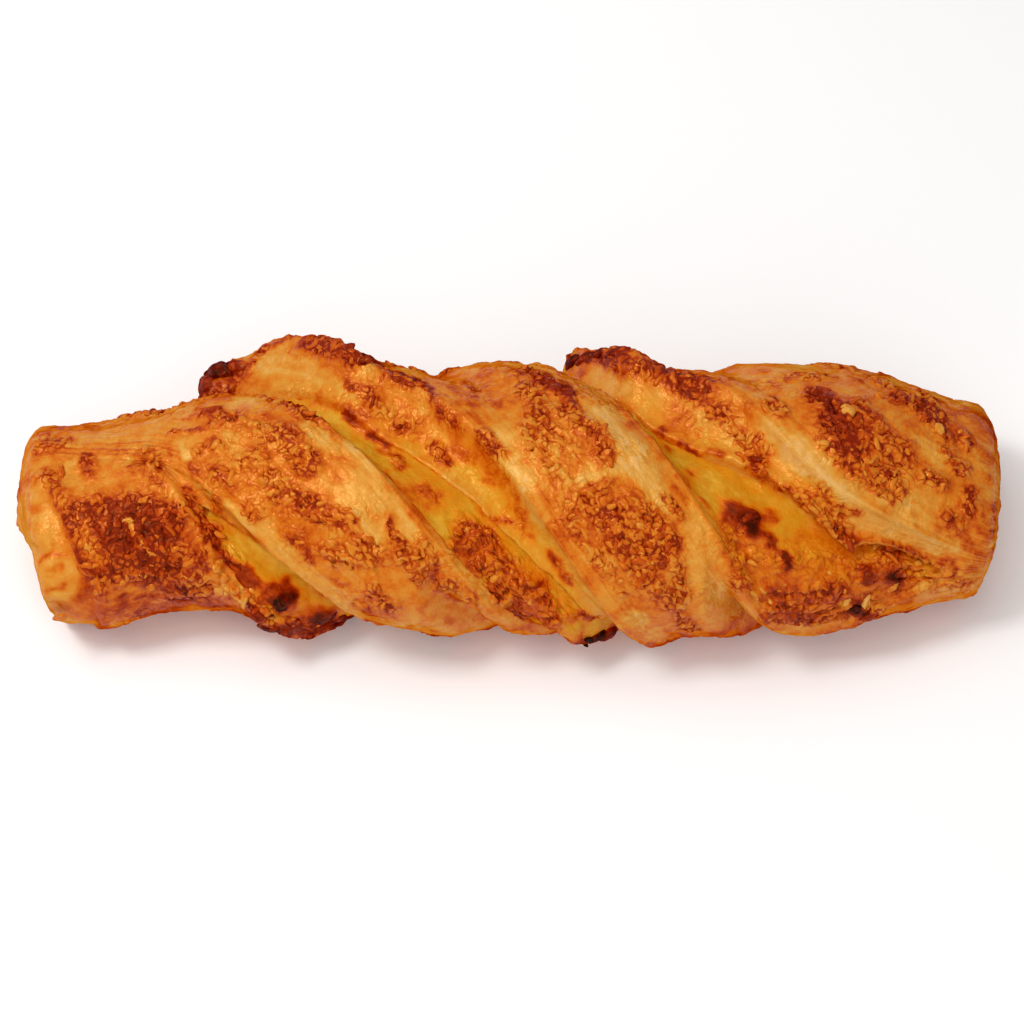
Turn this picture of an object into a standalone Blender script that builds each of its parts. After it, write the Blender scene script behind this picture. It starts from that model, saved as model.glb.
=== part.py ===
"""A cheese twist: two sheets of puff pastry, joined at both ends, twisted round a ribbon of cheese.

The twist lies along X on the plane z = 0, with its origin in the middle of its underside.
Shapes are worked out in millimetres and placed in metres.

Two sheets, A and B, wind round the X axis. Each has a lip, the edge that curls up and browns, and a hem,
the edge that lies down. Between a lip and the other sheet's hem is a furrow, where the filling shows.
Clockwise round a section, seen from +X, come A's lip, furrow AB, B's hem, sheet B, B's lip, furrow BA,
A's hem and sheet A. A line's angle is measured from straight up, and is positive towards +Y.
"""

import math
import random

import bmesh
import bpy
import numpy as np
from mathutils import Matrix, Vector, noise

MM = 0.001

# The whole twist
LENGTH = 221.0
HALF_LENGTH = LENGTH / 2
END_ROUNDING = 7.0  # along X, at each end
END_BLUNTNESS = 3.0  # 2 is an elliptical end
LEFT_SLANT, RIGHT_SLANT = 7.0, 2.5  # how far the lower front of each end is set back
SLANT_REACH = 45.0  # along X, over which a slant fades
SLANT_TOWARDS = -120.0  # degrees from straight up, the side that is set back most
END_EVENNESS = 1.5  # how soon an end's rounding evens out the relief on it

# The plain section along X: (x, half width, half height, y of the axis, height of the axis)
SECTIONS = (
    (-110, 23.6, 16.5, -7.4, 15.2),
    (-92, 23.8, 16.8, -6.1, 15.6),
    (-76, 22.8, 18.5, -3.6, 17.5),
    (-58, 25.5, 21.5, -1.8, 18.5),
    (-30, 30.0, 24.0, -2.5, 19.5),
    (0, 31.0, 24.0, -2.6, 19.5),
    (45, 31.0, 24.0, -2.8, 19.5),
    (70, 31.0, 23.5, -2.3, 19.5),
    (88, 27.2, 20.5, 0.2, 17.8),
    (100, 24.2, 17.8, -0.1, 16.0),
    (110, 22.6, 16.0, 0.0, 14.8),
)

# The four lines: (x, angle in degrees)
LIP_A = (
    (-110, 112), (-70, 90), (-47, 68), (-32, 44), (-12, 17), (3, -21), (21, -76), (43, -150),
    (65, -212), (88, -262), (110, -290),
)
HEM_B = (
    (-110, 98), (-70, 66), (-55, 38), (-32, -5), (-11, -57), (5, -108), (20, -150), (43, -209),
    (65, -262), (88, -300), (110, -318),
)
LIP_B = (
    (-110, 22), (-92, 16), (-74, -2), (-53, -51), (-40, -78), (-25, -118), (-2, -198), (13, -262),
    (22, -292), (50, -334), (65, -370), (83, -396), (110, -425),
)
HEM_A = (
    (-110, 8), (-92, 3), (-74, -12), (-67, -50), (-47, -112), (-25, -172), (-2, -250), (14, -302),
    (44, -398), (61, -460), (72, -463), (83, -452), (110, -434),
)

# How high each line stands over the plain section: (x, height). A lip stands up as a flap where it is on top.
LIP_A_RISE = (
    (-73, 0), (-70, 5), (-67, 8.5), (-60, 9.5), (-52, 11.5), (-44, 10), (-36, 8), (-29, 3.8),
    (-20, 1.2), (20, 1), (33, 3), (42, 1.6), (60, 0.8), (90, 0),
)
LIP_B_RISE = (
    (-76, 0), (-45, 0.5), (-25, -0.5), (10.5, 0.5), (12, 4.6), (20, 4.2), (27, 4.6), (33, 1.2),
    (50, 0.6), (100, 0),
)
HEM_A_RISE = (
    (-75, 0), (-62, 1.5), (-54, 4.6), (-48, 4.8), (-42, 3), (-30, 0), (45, -0.5), (62, 0.5), (100, 0),
)
HEM_B_RISE = ((-75, 0), (-45, -0.6), (0, 0), (90, 0))
RISE_WIDTH = 0.13  # of a sheet's width, over which a lip or a hem falls away

# A dip in the sheet behind each line: (x, depth)
LIP_A_DIP = ((-70, 0), (-45, 2), (-30, 3), (-16, 3.6), (-8, 2.6), (5, 0))
LIP_B_DIP = ((15, 0), (28, 2.6), (38, 3.2), (46, 2.7), (60, 0))
HEM_A_DIP = ((42, 0), (46, 4), (50, 7.5), (55, 6), (61, 2.6), (67, 0))
HEM_B_DIP = ((-20, 0), (-13, 4.6), (-8, 5.6), (-3, 3.2), (4, 0))
DIP_FROM_LINE, DIP_WIDTH = 0.28, 0.13
CROWN = 1.0  # how far the middle of a sheet bulges

# The furrows: depth, where the floor lies between lip (0) and hem (1), and the swollen lobe along the hem
FURROW_AB_DEPTH = (
    (-73, 0), (-68, 3.5), (-60, 6), (-45, 7), (5, 7), (18, 5.0), (28, 4.8), (42, 6.5), (70, 5), (84, 0),
)
FURROW_AB_FLOOR = ((-60, 0.6), (-35, 0.52), (-8, 0.36), (15, 0.3), (60, 0.5))
FURROW_AB_LOBE = ((-30, 0), (-8, 2), (5, 5), (14, 7), (24, 5), (32, 3), (60, 1.5), (80, 0))
FURROW_BA_DEPTH = (
    (-76, 0), (-70, 2), (-62, 5), (-50, 6), (20, 6), (40, 7), (62, 7.5), (80, 6), (92, 3.5), (101, 0),
)
FURROW_BA_FLOOR = ((-65, 0.4), (-40, 0.4), (10, 0.5), (40, 0.5), (60, 0.36), (90, 0.45))
FURROW_BA_LOBE = (
    (-68, 0), (-58, 2), (-45, 4), (-30, 2), (0, 1), (40, 0.5), (55, 2.5), (75, 3), (90, 1.5), (100, 0),
)
LOBE_PLACE, LOBE_WIDTH = 0.64, 0.22
FURROW_ROUNDNESS = 0.8  # under 1 makes the floor broad
LIP_LEAN = 5.0  # degrees that a tall lip leans over its furrow
FULL_LEAN_RISE = 6.0  # how high a lip stands when it leans that much
LEAN_REACH = 0.3  # of a furrow's width, over which the lean fades

# The pale fold at the left end lies a step lower: (angle, x of the step)
FOLD_EDGE = ((-125, -96), (-90, -92.5), (-63, -93), (-37, -96.5), (-11, -100.5), (12, -109))
FOLD_STEP, FOLD_SOFTNESS = 1.2, 0.6
FOLD_FADE = 8.0  # degrees, past both ends of its edge

# Unevenness of the dough: (size, height)
LUMPS = ((22.0, 0.9), (8.0, 0.5), (3.6, 0.2))

# The filling: a ribbon through the axis, which widens to a layer under each furrow
RIBBON_ENDS = (-69.0, 97.0)
RIBBON_TAPER = 16.0  # along X, over which it widens from each end
BLUNT_END = 0.15  # how wide its ends are, of its full width
RIBBON_TIP, TIP_GROWTH = 0.8, 3.0  # length of the point at each end, and what each mm of gap adds
RIBBON_HALF_THICKNESS = 2.2
NECK_RADIUS, SHOULDER_RADIUS, RIM_RADIUS, OUTER_RADIUS = 11.0, 15.0, 27.0, 46.0
# The filling's edges in each furrow: (x, share beside the lip, share beside the hem)
MOUTH_AB = ((-69, 0.5, 0.9), (-40, 0.47, 0.95), (-20, 0.45, 0.95), (10, 0.36, 0.92), (97, 0.4, 0.85))
MOUTH_BA = (
    (-69, 0.2, 0.8), (-50, 0.12, 0.9), (0, 0.4, 0.9), (38, 0.5, 0.93), (54, 0.25, 0.93), (64, 0.18, 0.93),
    (76, 0.3, 0.93), (88, 0.34, 0.92), (97, 0.45, 0.85),
)
FILLING_SINK = 0.5  # the filling's surface lies this much under the pastry's
GAP = 0.3  # between the filling and the pastry

# Bits of grated cheese baked on, in patches: (sheet, x, share, reach along X, reach in share, bits)
PATCHES = (
    ("sheet A", -86, 0.17, 13, 0.12, 14),
    ("sheet A", 12, 0.45, 7, 0.16, 9),
    ("sheet A", 27, 0.57, 8, 0.12, 10),
    ("sheet B", -62, 0.6, 5, 0.15, 4),
    ("sheet B", -47, 0.42, 8, 0.16, 8),
    ("sheet B", -34, 0.6, 9, 0.16, 7),
    ("sheet B", -16, 0.3, 8, 0.12, 4),
    ("sheet B", 77, 0.64, 7, 0.14, 11),
    ("sheet B", 94, 0.6, 6, 0.16, 8),
    ("sheet A", -45, 0.5, 12, 0.15, 5),
    ("sheet A", -12, 0.4, 10, 0.12, 4),
    ("sheet B", 8, 0.6, 10, 0.12, 4),
    ("sheet A", 62, 0.5, 12, 0.15, 5),
)
PATCH_SPREAD = 0.6  # the spread of a patch's bits, of its reach
BIT_SIZE = (3.4, 1.9, 1.7)
BIT_VARIATION = (0.75, 1.25)
BIT_RAISED = 0.1  # of its middle over the crust
LOWEST_BIT = 3.0  # none is baked on underneath
BIT_SEED = 11
CLEAR_OF_EDGE = 0.14  # of a sheet's width, kept free of bits beside the lip and the hem

# Charred tips of torn crust: (band, x, share, height, size along the band, across it and upwards)
CHARRED_TIPS = (
    ("furrow AB", -66.3, 0.03, -0.4, (7.5, 4.0, 4.5)),
    ("furrow BA", 13.8, 0.03, 0.0, (5.0, 3.6, 3.6)),
    ("furrow AB", 19.5, 0.2, 0.4, (4.0, 2.4, 5.0)),
    ("sheet A", -102.0, 0.3, 0.0, (5.0, 3.0, 2.4)),
)

# How finely the pieces are drawn
SKIN_STATIONS, SHEET_COLUMNS, FURROW_COLUMNS = 70, 10, 8
RIBBON_STATIONS = 42
STATION_EASE = 0.35  # how much closer the stations stand near both ends
SMOOTH_UNDER = 40.0  # degrees

PASTRY_COLOUR, PASTRY_ROUGHNESS = (0.68, 0.29, 0.062, 1.0), 0.5
FILLING_COLOUR, FILLING_ROUGHNESS = (0.62, 0.31, 0.035, 1.0), 0.42


def follow(table, x, column=1):
    """The smooth curve through a table's points, read at x."""
    places, values = np.array([(row[0], row[column]) for row in table], float).T
    x = np.clip(x, places[0], places[-1])
    slopes = np.gradient(values, places)
    left = np.clip(np.searchsorted(places, x, side="right") - 1, 0, len(places) - 2)
    width = places[left + 1] - places[left]
    s = (x - places[left]) / width
    return (
        (1 + 2 * s) * (1 - s) ** 2 * values[left]
        + s**2 * (3 - 2 * s) * values[left + 1]
        + s * (1 - s) ** 2 * width * slopes[left]
        - s**2 * (1 - s) * width * slopes[left + 1]
    )


def bump(distance, width):
    return np.exp(-((distance / width) ** 2))


def furrow(x, s, lip, hem, depth, floor, lobe):
    """Angle and height in a furrow at x, at share s of the way from its lip to its hem."""
    (lip_line, lip_rise), (hem_line, hem_rise) = lip, hem
    blend = s * s * (3 - 2 * s)
    ends = (1 - blend) * follow(lip_rise, x) + blend * follow(hem_rise, x)
    lowest = math.log(0.5) / np.log(follow(floor, x))
    trough = np.sin(math.pi * s**lowest) ** FURROW_ROUNDNESS * np.maximum(follow(depth, x), 0)
    swell = follow(lobe, x) * bump(s - LOBE_PLACE, LOBE_WIDTH) * np.sin(math.pi * s)
    lean = LIP_LEAN * np.clip(follow(lip_rise, x) / FULL_LEAN_RISE, 0, 1) * bump(s, LEAN_REACH)
    angle = (1 - s) * follow(lip_line, x) + s * follow(hem_line, x) - lean * (1 - s)
    return angle, ends - trough + swell


def sheet(x, s, hem, lip, turn):
    """Angle and height on a sheet at x, at share s of the way from its hem to its lip."""
    (hem_line, hem_rise, hem_dip), (lip_line, lip_rise, lip_dip) = hem, lip
    height = CROWN * np.sin(math.pi * s)
    for from_line, rise, dip in ((s, hem_rise, hem_dip), (1 - s, lip_rise, lip_dip)):
        height = height + follow(rise, x) * bump(from_line, RISE_WIDTH)
        height = height - follow(dip, x) * bump(from_line - DIP_FROM_LINE, DIP_WIDTH)
    lean = LIP_LEAN * np.clip(follow(lip_rise, x) / FULL_LEAN_RISE, 0, 1) * bump(1 - s, RISE_WIDTH)
    angle = (1 - s) * follow(hem_line, x) + s * (follow(lip_line, x) + turn) - lean * s
    return angle, height


def band(kind, x, s):
    """Angle and height at share s of one of the four bands round the section at x."""
    if kind == "furrow AB":
        tables = FURROW_AB_DEPTH, FURROW_AB_FLOOR, FURROW_AB_LOBE
        return furrow(x, s, (LIP_A, LIP_A_RISE), (HEM_B, HEM_B_RISE), *tables)
    if kind == "furrow BA":
        tables = FURROW_BA_DEPTH, FURROW_BA_FLOOR, FURROW_BA_LOBE
        return furrow(x, s, (LIP_B, LIP_B_RISE), (HEM_A, HEM_A_RISE), *tables)
    if kind == "sheet B":
        return sheet(x, s, (HEM_B, HEM_B_RISE, HEM_B_DIP), (LIP_B, LIP_B_RISE, LIP_B_DIP), 0)
    return sheet(x, s, (HEM_A, HEM_A_RISE, HEM_A_DIP), (LIP_A, LIP_A_RISE, LIP_A_DIP), -360)


def rounded_end(x):
    """1 along the twist, falling to 0 at each tip."""
    past = np.clip((abs(x) - HALF_LENGTH + END_ROUNDING) / END_ROUNDING, 0, 1)
    return (1 - past**END_BLUNTNESS) ** (1 / END_BLUNTNESS)


def set_back(x, angle):
    """How far the lower front of an end is moved inwards along X."""
    low = (1 + math.cos(math.radians(angle - SLANT_TOWARDS))) / 2
    left = LEFT_SLANT * max(0.0, 1 - (HALF_LENGTH + x) / SLANT_REACH) ** 2
    right = RIGHT_SLANT * max(0.0, 1 - (HALF_LENGTH - x) / SLANT_REACH) ** 2
    return (left - right) * low * min(1.0, 2 * rounded_end(x))


def fold_step(x, angle):
    """How far the pale fold at the left end lies under the crust beside it."""
    nearest = (angle + 180) % 360 - 180
    first, last = FOLD_EDGE[0][0], FOLD_EDGE[-1][0]
    inside = bump(max(0.0, first - nearest) + max(0.0, nearest - last), FOLD_FADE)
    return FOLD_STEP * inside / (1 + math.exp((x - follow(FOLD_EDGE, nearest)) / FOLD_SOFTNESS))


def place(x, angle, height):
    """The point over the plain section at x, at an angle and a height, in millimetres."""
    half_width, half_height, axis_y, axis_z = (follow(SECTIONS, x, k) for k in (1, 2, 3, 4))
    across, up = math.sin(math.radians(angle)), math.cos(math.radians(angle))
    bare = Vector((x, half_width * across, half_height * up))
    lumps = sum(high * noise.noise(bare / size) for size, high in LUMPS)
    cap = rounded_end(x)
    height = (height + lumps - fold_step(x, angle)) * min(1.0, END_EVENNESS * cap)
    y = axis_y + (half_width + height) * cap * across
    z = axis_z + (half_height + height) * cap * up
    return Vector((x + set_back(x, angle), y, max(0.0, z)))


def surface_point(kind, x, s, raised=0.0):
    """The skin's point at share s of a band at x, raised by some millimetres."""
    angle, height = band(kind, x, s)
    return place(x, float(angle), float(height) + raised)


def spread(first, last, count):
    """Stations from first to last, closer together near both ends."""
    even = np.linspace(0, 1, count)
    eased = (1 - STATION_EASE) * even + STATION_EASE * (1 - np.cos(math.pi * even)) / 2
    return first + (last - first) * eased


def tube(name, stations, columns, point_at):
    """A closed skin: a sphere with its poles at both ends, its vertices moved to point_at(x, column)."""
    rings, around = len(stations) - 1, len(columns)
    bm = bmesh.new()
    bmesh.ops.create_uvsphere(bm, u_segments=around, v_segments=rings, radius=1)
    for vertex in bm.verts:
        ring = round(math.acos(max(-1.0, min(1.0, -vertex.co.z))) / math.pi * rings)
        column = round(math.atan2(-vertex.co.x, vertex.co.y) / math.tau * around) % around
        if ring in (0, rings):
            whole_ring = [point_at(stations[ring], each) for each in columns]
            vertex.co = sum(whole_ring, Vector()) / around * MM
        else:
            vertex.co = point_at(stations[ring], columns[column]) * MM
    bmesh.ops.triangulate(bm, faces=bm.faces, quad_method="FIXED")
    return piece_from(bm, name)


def piece_from(bm, name):
    mesh = bpy.data.meshes.new(name)
    bm.to_mesh(mesh)
    bm.free()
    piece = bpy.data.objects.new(name, mesh)
    bpy.context.scene.collection.objects.link(piece)
    return piece


def skin(name, sunk=0.0):
    """The twist's whole outer skin, sunk by some millimetres."""
    counts = (
        ("furrow AB", FURROW_COLUMNS),
        ("sheet B", SHEET_COLUMNS),
        ("furrow BA", FURROW_COLUMNS),
        ("sheet A", SHEET_COLUMNS),
    )
    columns = [(kind, k / count) for kind, count in counts for k in range(count)]
    stations = spread(-HALF_LENGTH, HALF_LENGTH, SKIN_STATIONS)
    return tube(name, stations, columns, lambda x, column: surface_point(column[0], x, column[1], -sunk))


def ribbon_taper(x):
    """How wide the ribbon is at x, rounding up from its two blunt ends to 1."""
    inside = min(x - RIBBON_ENDS[0], RIBBON_ENDS[1] - x) / RIBBON_TAPER
    return BLUNT_END + (1 - BLUNT_END) * math.sqrt(1 - (1 - min(1.0, max(0.0, inside))) ** 2)


def mouth_angles(x, kind, mouth):
    """The angles of the filling's two edges in a furrow, drawn together at the ribbon's ends."""
    lip_side, hem_side = (float(band(kind, x, follow(mouth, x, k))[0]) for k in (1, 2))
    middle, taper = (lip_side + hem_side) / 2, ribbon_taper(x)
    return middle + (lip_side - middle) * taper, middle + (hem_side - middle) * taper


def ribbon_section(x, grow):
    """(angle, radius) round the ribbon's section at x, clockwise. Grown, it leaves a gap all round."""
    first = mouth_angles(x, "furrow AB", MOUTH_AB)
    second = mouth_angles(x, "furrow BA", MOUTH_BA)
    half_thickness = RIBBON_HALF_THICKNESS * math.sqrt(ribbon_taper(x)) + grow
    section = []
    for (lip_side, hem_side), other in ((first, second), (second, [a - 360 for a in first])):
        middle = (lip_side + hem_side) / 2
        for side, edge in ((1, lip_side), (-1, hem_side)):
            neck = (middle + side * math.degrees(half_thickness / NECK_RADIUS), NECK_RADIUS)
            shoulder = (edge + side * math.degrees(grow / SHOULDER_RADIUS), SHOULDER_RADIUS - grow)
            rim = (edge + side * math.degrees(grow / RIM_RADIUS), RIM_RADIUS)
            outer = (edge + side * math.degrees(grow / OUTER_RADIUS), OUTER_RADIUS + grow)
            if side == 1:
                section += [neck, shoulder, rim, outer]
            else:
                section += [(middle, OUTER_RADIUS + grow), outer, rim, shoulder, neck]
        section.append(((middle + sum(other) / 2) / 2, half_thickness))
    return section


def ribbon(name, grow=0.0):
    """The ribbon that parts the filling from the pastry, as a solid that runs out past the skin."""
    stations = spread(*RIBBON_ENDS, RIBBON_STATIONS)
    sections = {x: ribbon_section(x, grow) for x in stations}
    tip = RIBBON_TIP + TIP_GROWTH * grow
    tips = stations[0] - tip, stations[-1] + tip

    def point_at(x, column):
        half_width, half_height, axis_y, axis_z = (follow(SECTIONS, x, k) for k in (1, 2, 3, 4))
        if x in tips:
            return Vector((x, axis_y, axis_z))
        angle, radius = sections[x][column]
        across, up = math.sin(math.radians(angle)), math.cos(math.radians(angle))
        return Vector((x, axis_y + radius * across, axis_z + radius * half_height / half_width * up))

    return tube(name, [tips[0], *stations, tips[1]], range(len(sections[stations[0]])), point_at)


def lump(pastry, kind, x, s, raised, size, turn):
    """A baked lump on the pastry nearest to share s at x, its length turned from that of the band."""
    _, spot, normal, _ = pastry.closest_point_on_mesh(surface_point(kind, x, s) * MM)
    along = surface_point(kind, x + 1, s) - surface_point(kind, x - 1, s)
    beside = normal.cross(along).normalized()
    frame = Matrix((beside.cross(normal), beside, normal)).transposed().to_4x4()
    shape = Matrix.Rotation(turn, 4, "Z") @ Matrix.Diagonal((*size, 1))
    centre = spot / MM + normal * raised
    bm = bmesh.new()
    placed = Matrix.Translation(centre) @ frame @ shape
    bmesh.ops.create_icosphere(bm, subdivisions=1, radius=0.5, matrix=placed)
    bmesh.ops.scale(bm, vec=(MM, MM, MM), verts=bm.verts)
    return piece_from(bm, "lump")


def baked_on_lumps(pastry):
    """The cheese bits in their patches, by a seeded draw, and the charred tips."""
    draw = random.Random(BIT_SEED)
    lumps = []
    for kind, x, s, reach, reach_s, count in PATCHES:
        for _ in range(count):
            at, share = draw.gauss(x, reach * PATCH_SPREAD), draw.gauss(s, reach_s * PATCH_SPREAD)
            share = min(1 - CLEAR_OF_EDGE, max(CLEAR_OF_EDGE, share))
            grow, turn = draw.uniform(*BIT_VARIATION), draw.uniform(0, math.pi)
            size = [grow * side for side in BIT_SIZE]
            if surface_point(kind, at, share).z > LOWEST_BIT:
                lumps.append(lump(pastry, kind, at, share, BIT_RAISED, size, turn))
    for kind, x, s, raised, size in CHARRED_TIPS:
        lumps.append(lump(pastry, kind, x, s, raised, size, 0.0))
    return lumps


def combine(piece, operation, tool=None, tools=None):
    """Applies one Boolean to a piece, with one tool or a collection of them, and removes the tools."""
    step = piece.modifiers.new(operation.lower(), "BOOLEAN")
    step.operation = operation
    step.solver = "EXACT"
    if tools:
        step.operand_type = "COLLECTION"
        step.collection = bpy.data.collections.new("lumps")
        bpy.context.scene.collection.children.link(step.collection)
        for each in tools:
            step.collection.objects.link(each)
    else:
        step.object = tool
    evaluated = piece.evaluated_get(bpy.context.evaluated_depsgraph_get())
    mesh = bpy.data.meshes.new_from_object(evaluated)
    if tools:
        bpy.data.collections.remove(step.collection)
    piece.modifiers.clear()
    piece.data = mesh
    for each in tools or [tool]:
        bpy.data.objects.remove(each)


def finish(piece, colour, roughness):
    """Splits the faces into triangles, shades them and gives the piece its material."""
    bm = bmesh.new()
    bm.from_mesh(piece.data)
    bmesh.ops.triangulate(bm, faces=bm.faces)
    bm.to_mesh(piece.data)
    bm.free()
    material = bpy.data.materials.new(piece.name)
    material.use_nodes = True
    shader = material.node_tree.nodes["Principled BSDF"]
    shader.inputs["Base Color"].default_value = colour
    shader.inputs["Roughness"].default_value = roughness
    piece.data.materials.clear()
    piece.data.materials.append(material)
    piece.data.shade_smooth()
    piece.data.set_sharp_from_angle(angle=math.radians(SMOOTH_UNDER))


def main():
    for obj in list(bpy.data.objects):
        bpy.data.objects.remove(obj)
    pastry = skin("pastry")
    combine(pastry, "DIFFERENCE", tool=ribbon("cut", GAP))
    combine(pastry, "UNION", tools=baked_on_lumps(pastry))
    filling = skin("cheese_filling", FILLING_SINK)
    combine(filling, "INTERSECT", tool=ribbon("part"))
    finish(pastry, PASTRY_COLOUR, PASTRY_ROUGHNESS)
    finish(filling, FILLING_COLOUR, FILLING_ROUGHNESS)


main()
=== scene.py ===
# %% [markdown]
# # A baked cheese twist
#
# The real thing is two sheets of puff pastry with melted cheese between them, joined at both ends and
# twisted, so that the cheese shows in spiral furrows. Grated cheese was scattered on top and browned.
#
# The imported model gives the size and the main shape. This script repeats that shape on a much finer net,
# adds the relief that baking leaves, and paints how far each spot has browned.

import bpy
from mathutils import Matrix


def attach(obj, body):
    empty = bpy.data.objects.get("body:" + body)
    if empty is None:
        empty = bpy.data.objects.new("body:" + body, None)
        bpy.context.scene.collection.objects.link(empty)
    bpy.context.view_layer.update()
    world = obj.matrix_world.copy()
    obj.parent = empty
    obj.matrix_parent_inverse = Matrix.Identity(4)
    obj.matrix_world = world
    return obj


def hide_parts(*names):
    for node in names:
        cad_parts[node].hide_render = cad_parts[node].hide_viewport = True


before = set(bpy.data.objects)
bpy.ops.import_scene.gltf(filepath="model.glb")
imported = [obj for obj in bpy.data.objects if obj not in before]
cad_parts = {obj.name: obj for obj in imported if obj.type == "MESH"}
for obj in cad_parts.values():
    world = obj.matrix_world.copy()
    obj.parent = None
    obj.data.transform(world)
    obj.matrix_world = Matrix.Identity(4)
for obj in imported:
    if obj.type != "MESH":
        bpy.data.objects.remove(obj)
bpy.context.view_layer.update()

# %% Blender's modules, and numpy for sums over many points
import math
import random
from functools import partial

import bmesh
import bpy
import numpy as np
from mathutils import Matrix, Vector, noise
from mathutils.bvhtree import BVHTree

MM = 0.001

# %% [markdown]
# ## The twist as numbers
#
# Two sheets, A and B, wind round the X axis. Each has a lip, the edge that curls up and browns, and a hem,
# the edge that lies down. Between a lip and the other sheet's hem is a furrow, where the filling shows.
# Clockwise round a section come A's lip, furrow AB, B's hem, sheet B, B's lip, furrow BA, A's hem and
# sheet A.
#
# It could be sculpted by hand, but a few tables of lengths and angles along the twist can be checked against
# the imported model, and they give a place for every spot: which band, how far along, what share of its width.

# %% Tables of the main shape, in millimetres and degrees, each a value against x
LENGTH = 221.0
HALF_LENGTH = LENGTH / 2
END_ROUNDING = 7.0  # along X, at each end
END_BLUNTNESS = 3.0  # 2 is an elliptical end
END_EVENNESS = 1.5  # how soon an end's rounding evens out the relief on it
LEFT_SLANT, RIGHT_SLANT = 7.0, 2.5  # how far the lower front of each end is set back
SLANT_REACH = 45.0  # along X, over which a slant fades
SLANT_TOWARDS = -120.0  # degrees from straight up, the side that is set back most
# The plain section: x, half width, half height, y of the axis, height of the axis
SECTIONS = (
    (-110, 23.6, 16.5, -7.4, 15.2), (-92, 23.8, 16.8, -6.1, 15.6), (-76, 22.8, 18.5, -3.6, 17.5),
    (-58, 25.5, 21.5, -1.8, 18.5), (-30, 30.0, 24.0, -2.5, 19.5), (0, 31.0, 24.0, -2.6, 19.5),
    (45, 31.0, 24.0, -2.8, 19.5), (70, 31.0, 23.5, -2.3, 19.5), (88, 27.2, 20.5, 0.2, 17.8),
    (100, 24.2, 17.8, -0.1, 16.0), (110, 22.6, 16.0, 0.0, 14.8),
)
# The four lines: x, angle in degrees from straight up
LIP_A = (
    (-110, 112), (-70, 90), (-47, 68), (-32, 44), (-12, 17), (3, -21), (21, -76), (43, -150),
    (65, -212), (88, -262), (110, -290),
)
HEM_B = (
    (-110, 98), (-70, 66), (-55, 38), (-32, -5), (-11, -57), (5, -108), (20, -150), (43, -209),
    (65, -262), (88, -300), (110, -318),
)
LIP_B = (
    (-110, 22), (-92, 16), (-74, -2), (-53, -51), (-40, -78), (-25, -118), (-2, -198), (13, -262),
    (22, -292), (50, -334), (65, -370), (83, -396), (110, -425),
)
HEM_A = (
    (-110, 8), (-92, 3), (-74, -12), (-67, -50), (-47, -112), (-25, -172), (-2, -250), (14, -302),
    (44, -398), (61, -460), (72, -463), (83, -452), (110, -434),
)
# How high each line stands over the plain section: x, height
LIP_A_RISE = (
    (-73, 0), (-70, 5), (-67, 8.5), (-60, 9.5), (-52, 11.5), (-44, 10), (-36, 8), (-29, 3.8),
    (-20, 1.2), (20, 1), (33, 3), (42, 1.6), (60, 0.8), (90, 0),
)
LIP_B_RISE = (
    (-76, 0), (-45, 0.5), (-25, -0.5), (10.5, 0.5), (12, 4.6), (20, 4.2), (27, 4.6), (33, 1.2),
    (50, 0.6), (100, 0),
)
HEM_A_RISE = (
    (-75, 0), (-62, 1.5), (-54, 4.6), (-48, 4.8), (-42, 3), (-30, 0), (45, -0.5), (62, 0.5), (100, 0),
)
HEM_B_RISE = ((-75, 0), (-45, -0.6), (0, 0), (90, 0))
RISE_WIDTH = 0.13  # of a sheet's width, over which a lip or a hem falls away
# A dip in the sheet behind each line: x, depth
LIP_A_DIP = ((-70, 0), (-45, 2), (-30, 3), (-16, 3.6), (-8, 2.6), (5, 0))
LIP_B_DIP = ((15, 0), (28, 2.6), (38, 3.2), (46, 2.7), (60, 0))
HEM_A_DIP = ((42, 0), (46, 4), (50, 7.5), (55, 6), (61, 2.6), (67, 0))
HEM_B_DIP = ((-20, 0), (-13, 4.6), (-8, 5.6), (-3, 3.2), (4, 0))
DIP_FROM_LINE, DIP_WIDTH = 0.28, 0.13  # of a sheet's width
CROWN = 1.0  # how far the middle of a sheet bulges
# The furrows: depth, where the floor lies between lip (0) and hem (1), and the swollen lobe along the hem
FURROW_AB_DEPTH = (
    (-73, 0), (-68, 3.5), (-60, 6), (-45, 7), (5, 7), (18, 5.0), (28, 4.8), (42, 6.5), (70, 5), (84, 0),
)
FURROW_AB_FLOOR = ((-60, 0.6), (-35, 0.52), (-8, 0.36), (15, 0.3), (60, 0.5))
FURROW_AB_LOBE = ((-30, 0), (-8, 2), (5, 5), (14, 7), (24, 5), (32, 3), (60, 1.5), (80, 0))
FURROW_BA_DEPTH = (
    (-76, 0), (-70, 2), (-62, 5), (-50, 6), (20, 6), (40, 7), (62, 7.5), (80, 6), (92, 3.5), (101, 0),
)
FURROW_BA_FLOOR = ((-65, 0.4), (-40, 0.4), (10, 0.5), (40, 0.5), (60, 0.36), (90, 0.45))
FURROW_BA_LOBE = (
    (-68, 0), (-58, 2), (-45, 4), (-30, 2), (0, 1), (40, 0.5), (55, 2.5), (75, 3), (90, 1.5), (100, 0),
)
LOBE_PLACE, LOBE_WIDTH = 0.64, 0.22  # of a furrow's width
FURROW_ROUNDNESS = 0.8  # under 1 makes the floor broad
LIP_LEAN = 5.0  # degrees that a tall lip leans over its furrow
FULL_LEAN_RISE = 6.0  # how high a lip stands when it leans that much
LEAN_REACH = 0.3  # of a furrow's width, over which the lean fades
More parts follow.
